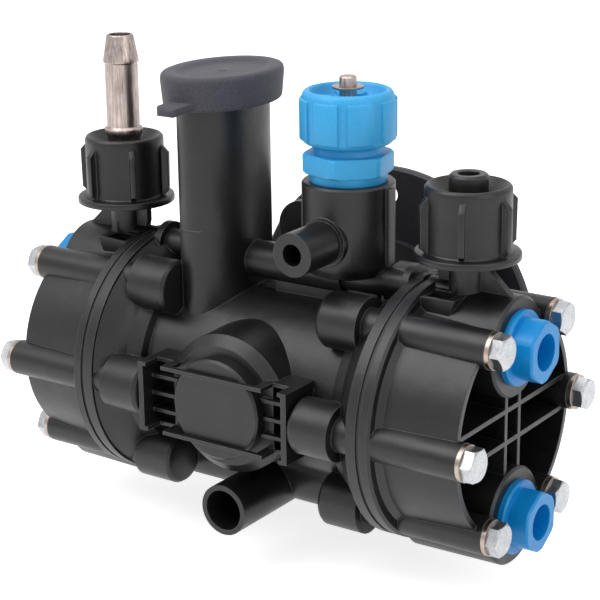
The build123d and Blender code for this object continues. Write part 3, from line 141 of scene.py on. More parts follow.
class WingNutSizes(PropertyGroup):
    """Sizes of the wing nuts on the delivery ports."""

    wall: length_field("Wall radius", "Outer radius of the nut's wall", 14.0 * MM)
    fin_reach: length_field("Fin reach", "How far a fin stands out of the wall", 2.6 * MM)
    edge: length_field("Edge round", "Radius on the nut's edges", 0.35 * MM)


class KnobSizes(PropertyGroup):
    """Sizes of the pressure knob and its collar."""

    pad_height: length_field("Pad height", "How far a grip pad stands out of the knob", 0.8 * MM)
    thread_pitch: length_field("Thread pitch", "Rise of the collar's thread in one turn", 2.0 * MM)
    edge: length_field("Edge round", "Radius on the knob's edges", 0.28 * MM)


class OilCapSizes(PropertyGroup):
    """Sizes of the rubber oil cap."""

    tab_reach: length_field("Tab reach", "How far the pull tab stands out of the cap", 7.4 * MM)
    tab_drop: length_field("Tab drop", "How far the tab's tip hangs", 0.9 * MM)
    edge: length_field("Edge round", "Radius on the cap's edges", 1.1 * MM)


class StudioSettings(PropertyGroup):
    """Camera and plain studio."""

    azimuth: angle_field("Azimuth", "Camera angle round the pump", 34.91)
    elevation: angle_field("Elevation", "Camera angle above the pump", 17.45)
    roll: angle_field("Roll", "Turn of the camera about its own axis", -0.78)
    distance: length_field("Distance", "From the camera to the point it looks at", 618.26 * MM)
    target: FloatVectorProperty(
        name="Target",
        description="Point the camera looks at",
        subtype="XYZ",
        unit="LENGTH",
        size=3,
        default=(5.13 * MM, -70.0 * MM, 27.62 * MM),
    )
    lens: FloatProperty(
        name="Lens",
        description="Focal length in millimetres on a 36 mm sensor",
        unit="CAMERA",
        default=108.594,
    )
    floor: colour_field("Floor", "Pale floor", "F2F2F2")
    floor_lift: FloatProperty(
        name="Floor lift", description="White that the camera adds to the floor", default=0.75
    )
    ambient: FloatProperty(name="Ambient", description="Level of the light from all round", default=0.5)


def bare_selection():
    """Leaves edit mode and selects nothing, as before each new piece."""
    if bpy.context.object and bpy.context.object.mode != "OBJECT":
        bpy.ops.object.mode_set(mode="OBJECT")
    bpy.ops.object.select_all(action="DESELECT")


def add_node(tree, kind, values=None, links=None, **settings):
    """A node with its settings, its sockets' values and the links that come in."""
    made = tree.nodes.new(kind)
    for name, value in settings.items():
        setattr(made, name, value)
    for socket, value in (values or {}).items():
        made.inputs[socket].default_value = value
    for socket, source in (links or {}).items():
        tree.links.new(source, made.inputs[socket])
    return made


def stack_rings(name, rings, steps=RING_STEPS, turn=0.0):
    """A form round the Z axis, left in edit mode; a ring is (half width, half depth, height) in mm."""
    bare_selection()
    half_x, half_y, height = rings[0]
    bpy.ops.mesh.primitive_circle_add(
        vertices=steps, radius=MM, location=(0, 0, height * MM), rotation=(0, 0, turn)
    )
    piece = bpy.context.object
    piece.name = name
    piece.scale = (half_x, half_y, 1)
    bpy.ops.object.transform_apply(location=True, rotation=True, scale=True)
    bpy.ops.object.mode_set(mode="EDIT")
    bpy.ops.mesh.select_mode(type="VERT")
    bpy.ops.mesh.select_all(action="SELECT")
    for low, high in zip(rings, rings[1:]):
        rise = (high[2] - low[2]) * MM
        bpy.ops.mesh.extrude_region_move(TRANSFORM_OT_translate={"value": (0, 0, rise)})
        bpy.ops.transform.resize(
            value=(high[0] / low[0], high[1] / low[1], 1), center_override=(0, 0, high[2] * MM)
        )
    return piece


def round_rings(profile):
    """Rings of a turned form from its (radius, height) outline, closed on its first point."""
    return [(radius, radius, height) for radius, height in (*profile, profile[0])]


def close_form():
    """Merges rings that meet and turns the faces outwards."""
    bpy.ops.mesh.select_all(action="SELECT")
    bpy.ops.mesh.remove_doubles(threshold=MERGE)
    bpy.ops.mesh.normals_make_consistent(inside=False)
    bpy.ops.mesh.select_all(action="DESELECT")


def pick(piece, kind, wanted):
    """Selects only the faces or vertices whose middle passes the test, given in mm."""
    bpy.ops.mesh.select_mode(type=kind)
    bpy.ops.mesh.select_all(action="DESELECT")
    mesh = bmesh.from_edit_mesh(piece.data)
    if kind == "FACE":
        for face in mesh.faces:
            face.select_set(wanted(face.calc_center_median() / MM))
    else:
        for vertex in mesh.verts:
            vertex.select_set(wanted(vertex.co / MM))
    mesh.select_flush_mode()
    bmesh.update_edit_mesh(piece.data)


def off_centre(point, repeats):
    """Degrees between a point and the nearest of the equally spaced rays that start at +X."""
    pitch = 360 / repeats
    return abs((degrees(atan2(point.y, point.x)) + pitch / 2) % pitch - pitch / 2)


def apply_modifier(piece, kind, **settings):
    bare_selection()
    piece.select_set(True)
    bpy.context.view_layer.objects.active = piece
    modifier = piece.modifiers.new(kind.lower(), kind)
    for name, value in settings.items():
        setattr(modifier, name, value)
    bpy.ops.object.modifier_apply(modifier=modifier.name)


def round_edges(piece, width, segments=2, angle=CREASE):
    """Mould radius on every edge sharper than the angle, then smooth shading up to it."""
    apply_modifier(
        piece,
        "BEVEL",
        width=width * MM,
        segments=segments,
        limit_method="ANGLE",
        angle_limit=radians(angle),
    )
    bpy.ops.object.shade_smooth_by_angle(angle=radians(angle))


def set_down(piece, x, y, turn=0.0):
    """Moves a piece from the Z axis to its own upright axis and keeps its place in its mesh."""
    bare_selection()
    piece.select_set(True)
    bpy.context.view_layer.objects.active = piece
    piece.location = (x, y, 0)
    piece.rotation_euler = (0, 0, turn)
    bpy.ops.object.transform_apply(location=True, rotation=True, scale=True)


def hand_over(piece, node, body, material):
    """The piece stands for a CAD node, moves with its body and takes its material."""
    piece.data.materials.clear()
    piece.data.materials.append(material)
    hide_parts(node)
    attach(piece, body)


def solid(colour):
    return (*colour[:3], 1.0)


def shade(colour, factor):
    return tuple(min(1.0, c * factor) for c in colour[:3]) + (1.0,)


def surface_material(
    name, colour, roughness, metallic=0.0, ior=None, patch=18 * MM, grain=0.5 * MM, **look
):
    """A Principled surface with clouded colour and roughness, speckled grain, waves and rounded edges.

    look may hold: variation (share that the colour moves over a patch), speckle (share that it moves
    in the grain), rough_range (how far the roughness moves), bump (depth of the grain), waves (depth of
    the slow unevenness), edge (radius of the rounded edges), rubbed (colour that every
    edge is lightened to, partly for worn edges and partly as a painted highlight), stretch (x, y, z) of
    the grain, specular, sheen.
    """
    material = bpy.data.materials.new(name)
    material.use_nodes = True
    tree = material.node_tree
    tree.nodes.clear()
    place = add_node(tree, "ShaderNodeTexCoord").outputs["Object"]
    stretched = add_node(
        tree, "ShaderNodeMapping", {"Scale": look.get("stretch", (1, 1, 1))}, {"Vector": place}
    )
    clouds = add_node(
        tree,
        "ShaderNodeTexNoise",
        {"Scale": 1 / patch, "Detail": 4.0, "Roughness": 0.55},
        {"Vector": place},
    )
    fine = add_node(
        tree,
        "ShaderNodeTexNoise",
        {"Scale": 1 / grain, "Detail": 3.0, "Roughness": 0.6},
        {"Vector": stretched.outputs["Vector"]},
    )
    variation = look.get("variation", 0.18)
    tone = add_node(
        tree,
        "ShaderNodeMix",
        {6: shade(colour, 1 - variation), 7: shade(colour, 1 + variation)},
        {0: clouds.outputs["Fac"]},
        data_type="RGBA",
    )
    speckle = look.get("speckle", 0.1)
    level = add_node(
        tree,
        "ShaderNodeMapRange",
        {"From Min": 0.35, "From Max": 0.65, "To Min": 1 - speckle, "To Max": 1 + speckle},
        {"Value": fine.outputs["Fac"]},
        clamp=False,
    )
    surface = add_node(
        tree,
        "ShaderNodeVectorMath",
        links={0: tone.outputs[2], "Scale": level.outputs["Result"]},
        operation="SCALE",
    ).outputs["Vector"]
    rounded = add_node(tree, "ShaderNodeBevel", {"Radius": look.get("edge", 0.3 * MM)}, samples=4)
    # Painted highlight and worn edges: every edge that the bevel rounds is lightened towards the given
    # colour, partly for rubbing and partly as a painted highlight.
    if "rubbed" in look:
        flat = add_node(tree, "ShaderNodeNewGeometry")
        turn = add_node(
            tree,
            "ShaderNodeVectorMath",
            links={0: rounded.outputs["Normal"], 1: flat.outputs["Normal"]},
            operation="DOT_PRODUCT",
        )
        wear_and_highlight = add_node(
            tree,
            "ShaderNodeMapRange",
            {"From Min": 0.985, "From Max": 0.8, "To Max": 0.6},
            {"Value": turn.outputs["Value"]},
        )
        patchy = add_node(
            tree,
            "ShaderNodeMath",
            links={0: wear_and_highlight.outputs["Result"], 1: level.outputs["Result"]},
            operation="MULTIPLY",
            use_clamp=True,
        )
        surface = add_node(
            tree,
            "ShaderNodeMix",
            {7: solid(look["rubbed"])},
            {0: patchy.outputs["Value"], 6: surface},
            data_type="RGBA",
        ).outputs[2]
    rough_range = look.get("rough_range", 0.08)
    rough = add_node(
        tree,
        "ShaderNodeMapRange",
        {"To Min": roughness - rough_range, "To Max": roughness + rough_range},
        {"Value": clouds.outputs["Fac"]},
    )
    unevenness = add_node(
        tree,
        "ShaderNodeTexNoise",
        {"Scale": 1 / WAVE_LENGTH, "Detail": 1.0, "Roughness": 0.4},
        {"Vector": place},
    )
    waves = add_node(
        tree,
        "ShaderNodeBump",
        {"Strength": 1.0, "Distance": look.get("waves", 0.02 * MM)},
        {"Height": unevenness.outputs["Fac"], "Normal": rounded.outputs["Normal"]},
    )
    bump = add_node(
        tree,
        "ShaderNodeBump",
        {"Strength": 1.0, "Distance": look.get("bump", 0.01 * MM)},
        {"Height": fine.outputs["Fac"], "Normal": waves.outputs["Normal"]},
    )
    principled = add_node(
        tree,
        "ShaderNodeBsdfPrincipled",
        {
            "Metallic": metallic,
            "Specular IOR Level": look.get("specular", 0.5),
            "Sheen Weight": look.get("sheen", 0.0),
        },
        {"Base Color": surface, "Roughness": rough.outputs["Result"], "Normal": bump.outputs["Normal"]},
    )
    if ior:
        principled.inputs["IOR"].default_value = ior
    add_node(tree, "ShaderNodeOutputMaterial", links={"Surface": principled.outputs["BSDF"]})
    return material


def dress(nodes, material):
    """Gives CAD nodes a material and smooth shading between their facets."""
    for name in nodes:
        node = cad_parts[name]
        node.data.materials.clear()
        node.data.materials.append(material)
        node.data.polygons.foreach_set("use_smooth", [True] * len(node.data.polygons))
        weld = node.modifiers.new("weld", "WELD")
        weld.merge_threshold = MERGE
        crease = node.modifiers.new("crease", "EDGE_SPLIT")
        crease.split_angle = radians(CREASE)
        crease.use_edge_sharp = False


class PUMP_OT_studio(Operator):
    """Add the floor, the white surroundings, the lamps and the camera"""

    bl_idname = "pump.studio"
    bl_label = "Studio"

    def execute(self, context):
        settings = context.scene.pump_studio
        low, high = CAD_BOX
        floor_z = low[2]
        bare_selection()
        bpy.ops.mesh.primitive_plane_add(size=6, location=(0, 0, floor_z))
        floor = context.object
        floor.name = "floor"
        floor.data.materials.append(self.floor_material(settings.floor, settings.floor_lift))
        self.make_world(context.scene, settings.ambient)
        target = Vector(settings.target)
        for name, azimuth, elevation, distance, size, power in (
            ("key_lamp", -38, 52, 0.95, 0.7, 4.2),
            ("fill_lamp", 78, 24, 1.0, 0.6, 1.8),
            ("top_lamp", 20, 84, 1.0, 1.1, 4.6),
        ):
            self.add_lamp(name, target, azimuth, elevation, distance, size, power)
        self.add_camera(context.scene, settings, target)
        context.scene.view_settings.view_transform = "Standard"
        return {"FINISHED"}

    @staticmethod
    def direction(azimuth, elevation):
        """Unit vector from the pump; azimuth 0 is the front, positive towards the right head."""
        return Vector((sin(azimuth) * cos(elevation), -cos(azimuth) * cos(elevation), sin(elevation)))

    @staticmethod
    def floor_material(colour, lift):
        """Painted studio floor: it looks white to the camera and keeps the pump's shadow."""
        material = bpy.data.materials.new("painted_floor")
        material.use_nodes = True
        tree = material.node_tree
        tree.nodes.clear()
        paint = add_node(
            tree,
            "ShaderNodeBsdfPrincipled",
            {"Base Color": solid(colour), "Roughness": 0.9, "Specular IOR Level": 0.1},
        )
        path = add_node(tree, "ShaderNodeLightPath")
        seen = add_node(
            tree,
            "ShaderNodeMath",
            links={0: path.outputs["Is Camera Ray"], 1: path.outputs["Is Glossy Ray"]},
            operation="MAXIMUM",
        )
        level = add_node(
            tree, "ShaderNodeMath", {1: lift}, {0: seen.outputs["Value"]}, operation="MULTIPLY"
        )
        glow = add_node(
            tree, "ShaderNodeEmission", {"Color": (1, 1, 1, 1)}, {"Strength": level.outputs["Value"]}
        )
        both = add_node(
            tree, "ShaderNodeAddShader", links={0: paint.outputs["BSDF"], 1: glow.outputs["Emission"]}
        )
        add_node(tree, "ShaderNodeOutputMaterial", links={"Surface": both.outputs["Shader"]})
        return material

    @staticmethod
    def make_world(scene, ambient):
        """Plain light all round, seen as white by the camera and in reflections."""
        world = bpy.data.worlds.new("white_surroundings")
        world.use_nodes = True
        scene.world = world
        tree = world.node_tree
        tree.nodes.clear()
        path = add_node(tree, "ShaderNodeLightPath")
        seen = add_node(
            tree,
            "ShaderNodeMath",
            links={0: path.outputs["Is Camera Ray"], 1: path.outputs["Is Glossy Ray"]},
            operation="MAXIMUM",
        )
        seen_all = add_node(
            tree,
            "ShaderNodeMath",
            links={0: seen.outputs["Value"], 1: path.outputs["Is Transmission Ray"]},
            operation="MAXIMUM",
        )
        strength = add_node(
            tree,
            "ShaderNodeMapRange",
            {"To Min": ambient, "To Max": 1.0},
            {"Value": seen_all.outputs["Value"]},
        )
        background = add_node(
            tree,
            "ShaderNodeBackground",
            {"Color": (1, 1, 1, 1)},
            {"Strength": strength.outputs["Result"]},
        )
        add_node(tree, "ShaderNodeOutputWorld", links={"Surface": background.outputs["Background"]})

    def add_lamp(self, name, target, azimuth, elevation, distance, size, power):
        bare_selection()
        toward = self.direction(radians(azimuth), radians(elevation))
        bpy.ops.object.light_add(type="AREA", location=target + toward * distance)
        lamp = bpy.context.object
        lamp.name = name
        lamp.data.shape = "DISK"
        lamp.data.size = size
        lamp.data.energy = power
        lamp.rotation_mode = "QUATERNION"
        lamp.rotation_quaternion = (-toward).to_track_quat("-Z", "Y")

    def add_camera(self, scene, settings, target):
        bare_selection()
        toward = self.direction(settings.azimuth, settings.elevation)
        bpy.ops.object.camera_add(location=target + toward * settings.distance)
        camera = bpy.context.object
        camera.name = "photo_camera"
        camera.rotation_mode = "QUATERNION"
        level = (-toward).to_track_quat("-Z", "Y")
        camera.rotation_quaternion = level @ Quaternion((0, 0, 1), settings.roll)
        camera.data.sensor_width = 36
        camera.data.lens = settings.lens
        camera.data.clip_start = 0.01
        scene.camera = camera


class PUMP_OT_mouldings(Operator):
    """Finish the crankcase, the heads, the front cap, the outlet stub and the motor flange"""

    bl_idname = "pump.mouldings"
    bl_label = "Black mouldings"

    def execute(self, context):
        finish = context.scene.pump_mouldings
        # Glass-filled nylon, injection moulded: near black and half gloss, with a leathery spark-eroded
        # grain that glitters in the highlights, slow sink marks, and edges lightened grey, partly by
        # rubbing and partly as a painted highlight.
        nylon = surface_material(
            "glass_filled_nylon",
            finish.nylon,
            roughness=0.38,
            ior=1.53,
            grain=finish.grain,
            bump=0.05 * MM,
            waves=0.3 * MM,
            edge=finish.edge,
            variation=0.5,
            speckle=0.6,
            rough_range=0.14,
            rubbed=finish.rubbed,
            specular=0.4,
        )
        dress(BLACK_MOULDINGS + STUB_NODES, nylon)
        # Powder-coated aluminium: dark grey, duller than the nylon, with a soft orange peel.
        coated = surface_material(
            "powder_coated_aluminium",
            finish.flange,
            roughness=0.5,
            ior=1.5,
            grain=0.9 * MM,
            bump=0.03 * MM,
            edge=finish.edge,
            speckle=0.2,
            specular=0.4,
        )
        dress(FLANGE_NODES, coated)
        return {"FINISHED"}


class PUMP_OT_rubber(Operator):
    """Make the rubber for the oil cap, and finish the diaphragms and the seals"""

    bl_idname = "pump.rubber"
    bl_label = "Rubber parts"

    def execute(self, context):
        finish = context.scene.pump_mouldings
        # Nitrile rubber, compression moulded: matt dark grey, cool, with a dry grain and a dusty bloom.
        surface_material(
            "nitrile_rubber",
            finish.rubber,
            roughness=0.7,
            ior=1.52,
            grain=0.55 * MM,
            bump=0.05 * MM,
            waves=0.08 * MM,
            edge=0.6 * MM,
            variation=0.3,
            speckle=0.3,
            specular=0.4,
            sheen=0.1,
        )
        # Seal rubber: the same compound without the bloom, blacker and smoother.
        seal = surface_material(
            "seal_rubber", linear_colour("151515"), roughness=0.5, ior=1.52, bump=0.005 * MM
        )
        dress(SEAL_NODES, seal)
        # Fabric-reinforced diaphragm rubber: black with the weave's fine ribbing.
        diaphragm = surface_material(
            "diaphragm_rubber",
            linear_colour("1B1A1A"),
            roughness=0.6,
            ior=1.52,
            grain=0.6 * MM,
            bump=0.02 * MM,
        )
        dress(("right_diaphragm", "left_diaphragm"), diaphragm)
        return {"FINISHED"}


class PUMP_OT_wing_nuts(Operator):
    """Model the wing nut once, with six fins, and set a copy on each delivery port"""

    bl_idname = "pump.wing_nuts"
    bl_label = "Wing nuts"

    def execute(self, context):
        sizes = context.scene.pump_wing_nuts
        nylon = bpy.data.materials["glass_filled_nylon"]
        low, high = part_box("right_wing_nut")
        foot, top = low[2] / MM, high[2] / MM
        wall = sizes.wall / MM
        reach = sizes.fin_reach / MM
        socket, socket_end = 10.45, foot + 16.6
        tail_hole = 7.05
        skirt = 17.3
        fins = 6
        profile = [
            (socket, foot),
            (socket, socket_end),
            (tail_hole, socket_end),
            (tail_hole, top - 4.6),
            (10.2, top - 2.2),
            (12.0, top - 0.5),
            (12.4, top - 0.1),
            (12.9, top),
            (wall - 0.55, top - 0.35),
            (wall - 0.12, top - 0.95),
            (wall, top - 1.7),
            (wall, top - 3.4),
            (wall, top - 6.0),
            (wall, foot + 3.0),
            (wall + 0.5, foot + 2.5),
            (skirt - 0.9, foot + 2.4),
            (skirt - 0.2, foot + 2.1),
            (skirt, foot + 1.5),
            (skirt, foot),
        ]
        nut = stack_rings("right_wing_nut_moulding", round_rings(profile))
        close_form()
        pick(
            nut,
            "FACE",
            lambda p: off_centre(p, fins) < STEP_ANGLE
            and hypot(p.x, p.y) > wall - 0.2
            and foot + 2.6 < p.z < top - 3.5,
        )
        bpy.ops.mesh.extrude_region_shrink_fatten(TRANSFORM_OT_shrink_fatten={"value": sizes.fin_reach})
        pick(nut, "VERT", lambda p: hypot(p.x, p.y) > wall + reach / 2 and p.z > top - 4.0)
        narrowed = (wall + 0.25) / (wall + reach)
        bpy.ops.transform.resize(value=(narrowed, narrowed, 1), center_override=(0, 0, 0))
        pick(
            nut,
            "VERT",
            lambda p: hypot(p.x, p.y) > wall + reach * 0.8 and foot + 2.45 < p.z < foot + 3.4,
        )
        bpy.ops.transform.translate(value=(0, 0, -0.6 * MM))
        bpy.ops.object.mode_set(mode="OBJECT")
        round_edges(nut, sizes.edge / MM)
        bare_selection()
        nut.select_set(True)
        bpy.ops.object.duplicate()
        twin = context.object
        twin.name = "left_wing_nut_moulding"
        for piece, side, turn in ((nut, "right", -8.0), (twin, "left", 19.5)):
            low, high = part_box(f"{side}_wing_nut")
            set_down(piece, (low[0] + high[0]) / 2, (low[1] + high[1]) / 2, radians(turn))
            hand_over(piece, f"{side}_wing_nut", f"{side}_nut", nylon)
        return {"FINISHED"}


class PUMP_OT_oil_cap(Operator):
    """Model the rubber cap over the filler tube: oval, dished, with a pull tab"""

    bl_idname = "pump.oil_cap"
    bl_label = "Oil cap"

    def execute(self, context):
        sizes = context.scene.pump_oil_cap
        low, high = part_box("oil_cap")
        top = high[2] / MM
        foot = top - 11.4
        tube_x = (low[0] + high[0]) / 2
        half_y = 25.2
        tab_x, tab_half = 0.7, 5.6
        rings = [
            (15.15, 22.55, foot + 8.2),
            (15.15, 22.55, foot + 0.4),
            (15.5, 22.9, foot),
            (16.9, 24.0, foot),
            (17.35, 24.4, foot + 0.5),
            (17.5, 24.55, foot + 1.2),
            (17.7, 24.75, foot + 3.2),
            (18.2, half_y, top - 3.0),
            (18.2, half_y, top - 1.8),
            (18.0, 25.0, top - 0.9),
            (17.5, 24.5, top - 0.3),
            (16.7, 23.7, top),
            (14.2, 21.0, top - 0.05),
            (13.2, 19.9, top - 0.3),
            (12.2, 18.7, top - 0.9),
            (11.2, 17.5, top - 1.25),
            (10.0, 16.0, top - 1.4),
            (1.6, 1.6, top - 1.3),
            (1.2, 1.2, top - 1.0),
        ]
        cap = stack_rings("oil_cap_moulding", rings)
        bpy.ops.mesh.edge_face_add()
        pick(cap, "VERT", lambda p: abs(p.z - rings[0][2]) < 0.01 and abs(p.x) < 15.3)
        bpy.ops.mesh.edge_face_add()
        close_form()
        pick(
            cap,
            "FACE",
            lambda p: abs(p.x - tab_x) < tab_half
            and p.y < -20
            and foot + 0.4 < p.z < foot + 3.0
            and hypot(p.x, p.y) > 24,
        )
        reach = sizes.tab_reach
        # Share of the tab's reach, then the tab's width and thickness against the step before.
        steps = ((0.3, 0.9, 1.0), (0.7, 0.97, 1.1), (0.9, 0.86, 1.0), (1.0, 0.62, 0.6))
        fall = sizes.tab_drop / len(steps)
        for share, narrow, thin in steps:
            bpy.ops.mesh.extrude_region_move(TRANSFORM_OT_translate={"value": (0, 0, -fall)})
            middle = (
                tab_x * MM,
                -half_y * MM - share * reach,
                (foot + 1.8) * MM - share * sizes.tab_drop,
            )
            bpy.ops.transform.translate(value=(0, -reach, 0))
            bpy.ops.transform.resize(value=(narrow, 0, thin), center_override=middle)
        bpy.ops.object.mode_set(mode="OBJECT")
        round_edges(cap, sizes.edge / MM, segments=3, angle=32)
        set_down(cap, tube_x, HEADS_Y)
        hand_over(cap, "oil_cap", "oil_cap", bpy.data.materials["nitrile_rubber"])
        return {"FINISHED"}


class PUMP_OT_pressure_knob(Operator):
    """Model the pressure knob: eight grip pads, a deep dish and its ridges"""

    bl_idname = "pump.pressure_knob"
    bl_label = "Pressure knob"

    def execute(self, context):
        sizes = context.scene.pump_knob
        low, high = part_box("pressure_knob")
        foot, top = low[2] / MM, high[2] / MM
        hub = foot + 6.3
        skirt_bore, skirt_end = 12.2, foot + 8.4
        spring_room = 7.2
        stem_hole = 3.15
        dish, dish_floor = 11.2, foot + 13.5
        ridge_start = 6.6
        wall = 15.2
        pads = 8
        profile = [
            (skirt_bore, skirt_end),
            (skirt_bore, foot),
            (13.9, foot),
            (14.9, foot + 0.8),
            (wall, foot + 1.6),
            (wall, foot + 14.8),
            (wall - 0.1, foot + 15.5),
            (14.8, top - 1.1),
            (14.3, top - 0.4),
            (13.6, top),
            (13.0, top),
            (12.6, top - 0.3),
            (12.3, top - 1.0),
            (dish + 0.4, dish_floor + 0.4),
            (dish, dish_floor),
            (ridge_start, dish_floor),
            (stem_hole, dish_floor),
            (stem_hole, hub),
            (spring_room, hub),
            (spring_room, skirt_end),
        ]
        knob = stack_rings("pressure_knob_moulding", round_rings(profile), turn=radians(STEP_ANGLE / 2))
        close_form()
        pick(
            knob,
            "FACE",
            lambda p: off_centre(p, pads) < 4.1 * STEP_ANGLE
            and hypot(p.x, p.y) > wall - 0.1
            and foot + 1.7 < p.z < foot + 14.7,
        )
        bpy.ops.mesh.extrude_region_shrink_fatten(TRANSFORM_OT_shrink_fatten={"value": sizes.pad_height})
        pick(
            knob,
            "FACE",
            lambda p: off_centre(p, pads) < 1.4 * STEP_ANGLE
            and ridge_start < hypot(p.x, p.y) < dish
            and abs(p.z - dish_floor) < 0.1,
        )
        bpy.ops.mesh.extrude_region_move(TRANSFORM_OT_translate={"value": (0, 0, 1.2 * MM)})
        bpy.ops.object.mode_set(mode="OBJECT")
        round_edges(knob, sizes.edge / MM, segments=2, angle=30)
        set_down(knob, (low[0] + high[0]) / 2, (low[1] + high[1]) / 2, radians(4.3))
        hand_over(knob, "pressure_knob", "knob", bpy.data.materials["blue_nylon"])
        return {"FINISHED"}


class PUMP_OT_pressure_collar(Operator):
    """Model the pressure collar: hexagon with turned corners and the thread that the knob runs on"""

    bl_idname = "pump.pressure_collar"
    bl_label = "Pressure collar"

    def execute(self, context):
        sizes = context.scene.pump_knob
        low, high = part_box("pressure_collar")
        foot, top = low[2] / MM, high[2] / MM
        hexagon_foot = foot + 17.9
        hexagon_top = hexagon_foot + 6.6
        turned_corner = 15.1
        apothem = 13.5
        bore = 8.6
        spigot = 12.4
        seal_groove = 10.6
        shoulder = 12.9
        neck = 11.3
        profile = [
            (bore, top),
            (bore, foot),
            (spigot - 0.8, foot),
            (spigot, foot + 0.8),
            (spigot, foot + 2.1),
            (seal_groove, foot + 2.1),
            (seal_groove, foot + 3.9),
            (spigot, foot + 3.9),
            (spigot, foot + 15.0),
            (shoulder, foot + 15.0),
            (shoulder, hexagon_foot + 2.0),
            (neck, hexagon_foot + 2.0),
            (neck, top - 0.6),
            (neck - 0.6, top),
        ]
        collar = stack_rings("pressure_collar_moulding", round_rings(profile))
        close_form()
        bpy.ops.object.mode_set(mode="OBJECT")
        corner = apothem / cos(radians(30))
        hexagon = stack_rings(
            "collar_hexagon",
            [(corner, corner, hexagon_foot), (corner, corner, hexagon_top)],
            steps=6,
            turn=radians(30),
        )
        bpy.ops.mesh.edge_face_add()
        pick(hexagon, "VERT", lambda p: p.z < hexagon_foot + 0.1)
        bpy.ops.mesh.edge_face_add()
        close_form()
        bpy.ops.object.mode_set(mode="OBJECT")
        turned_corners = stack_rings(
            "collar_corners",
            [
                (turned_corner - 1.1, turned_corner - 1.1, hexagon_foot - 0.2),
                (turned_corner, turned_corner, hexagon_foot + 0.6),
                (turned_corner, turned_corner, hexagon_top - 0.6),
                (turned_corner - 1.1, turned_corner - 1.1, hexagon_top + 0.2),
            ],
        )
        bpy.ops.mesh.edge_face_add()
        pick(turned_corners, "VERT", lambda p: p.z < hexagon_foot)
        bpy.ops.mesh.edge_face_add()
        close_form()
        bpy.ops.object.mode_set(mode="OBJECT")
        apply_modifier(hexagon, "BOOLEAN", object=turned_corners, operation="INTERSECT")
        apply_modifier(collar, "BOOLEAN", object=hexagon, operation="UNION")
        for helper in (hexagon, turned_corners):
            bpy.data.objects.remove(helper)
        round_edges(collar, sizes.edge / MM / 2)
        thread = self.thread(neck, neck + 0.65, hexagon_top + 0.2, top - 0.8, sizes.thread_pitch)
        bare_selection()
        thread.select_set(True)
        collar.select_set(True)
        context.view_layer.objects.active = collar
        bpy.ops.object.join()
        set_down(collar, (low[0] + high[0]) / 2, (low[1] + high[1]) / 2, radians(43))
        hand_over(collar, "pressure_collar", "housing", bpy.data.materials["blue_nylon"])
        return {"FINISHED"}

    @staticmethod
    def thread(root, crest, low, high, pitch):
        """A helical ridge from its triangular section, with both ends closed; only the pitch is in m."""
        bare_selection()
        bpy.ops.mesh.primitive_circle_add(vertices=3, radius=MM, location=(0, 0, 0))
        ridge = bpy.context.object
        ridge.name = "collar_thread"
        half = pitch * 0.42
        sunk = (root - 0.2) * MM
        start = low * MM
        section = ((sunk, 0, start), (crest * MM, 0, start + half), (sunk, 0, start + 2 * half))
        for vertex, place in zip(ridge.data.vertices, section):
            vertex.co = place
        turns = int(((high - low) * MM - 2 * half) / pitch)
        apply_modifier(
            ridge,
            "SCREW",
            axis="Z",
            screw_offset=pitch,
            iterations=turns,
            steps=64,
            render_steps=64,
            use_merge_vertices=False,
        )
        bpy.ops.object.mode_set(mode="EDIT")
        bpy.ops.mesh.select_all(action="SELECT")
        bpy.ops.mesh.fill_holes(sides=3)
        close_form()
        bpy.ops.object.mode_set(mode="OBJECT")
        bpy.ops.object.shade_smooth_by_angle(angle=radians(CREASE))
        return ridge


class PUMP_OT_blue_fittings(Operator):
    """Finish the valve plugs, and make the blue nylon for the pressure knob and its collar"""

    bl_idname = "pump.blue_fittings"
    bl_label = "Blue fittings"

    def execute(self, context):
        finish = context.scene.pump_fittings
        # Acetal, moulded: deep blue, waxy half gloss, almost no grain.
        acetal = surface_material(
            "blue_acetal",
            finish.plug_blue,
            roughness=0.36,
            ior=1.48,
            variation=0.1,
            speckle=0.05,
            bump=0.008 * MM,
            waves=0.04 * MM,
            edge=0.4 * MM,
            specular=0.4,
        )
        dress(PLUG_NODES, acetal)
        # Unfilled nylon, moulded: lighter blue, a touch chalky.
        surface_material(
            "blue_nylon",
            finish.knob_blue,
            roughness=0.45,
            ior=1.53,
            variation=0.12,
            speckle=0.07,
            bump=0.015 * MM,
            waves=0.05 * MM,
            edge=0.5 * MM,
            specular=0.4,
        )
        return {"FINISHED"}


class PUMP_OT_metal_parts(Operator):
    """Finish the bolts, washers, hose barb, relief stem and clip"""

    bl_idname = "pump.metal_parts"
    bl_label = "Metal parts"

    def execute(self, context):
        finish = context.scene.pump_fittings
        # Bright zinc plate on forged steel: light grey with a cloudy, slightly dimpled skin.
        zinc = surface_material(
            "bright_zinc",
            finish.zinc,
            roughness=0.33,
            metallic=1.0,
            patch=2.5 * MM,
            variation=0.35,
            speckle=0.15,
            bump=0.02 * MM,
            waves=0.15 * MM,
        )
        dress(("right_head_bolts", "left_head_bolts"), zinc)
        # Stamped stainless steel: warmer and brushed by tumbling.
        washer = surface_material(
            "stainless_washer",
            finish.washer,
            roughness=0.3,
            metallic=1.0,
            patch=2 * MM,
            grain=0.25 * MM,
            variation=0.3,
            speckle=0.15,
        )
        dress(("right_head_washers", "left_head_washers", "stem_clip"), washer)
        # Nickel plate on drawn brass: warm grey, streaked along its length by the drawing die.
        nickel = surface_material(
            "nickel_plate",
            finish.nickel,
            roughness=0.33,
            metallic=1.0,
            patch=4 * MM,
            grain=0.6 * MM,
            stretch=(1, 1, 0.06),
            variation=0.3,
            speckle=0.3,
            bump=0.02 * MM,
        )
        dress(("hose_barb", "relief_stem"), nickel)
        return {"FINISHED"}


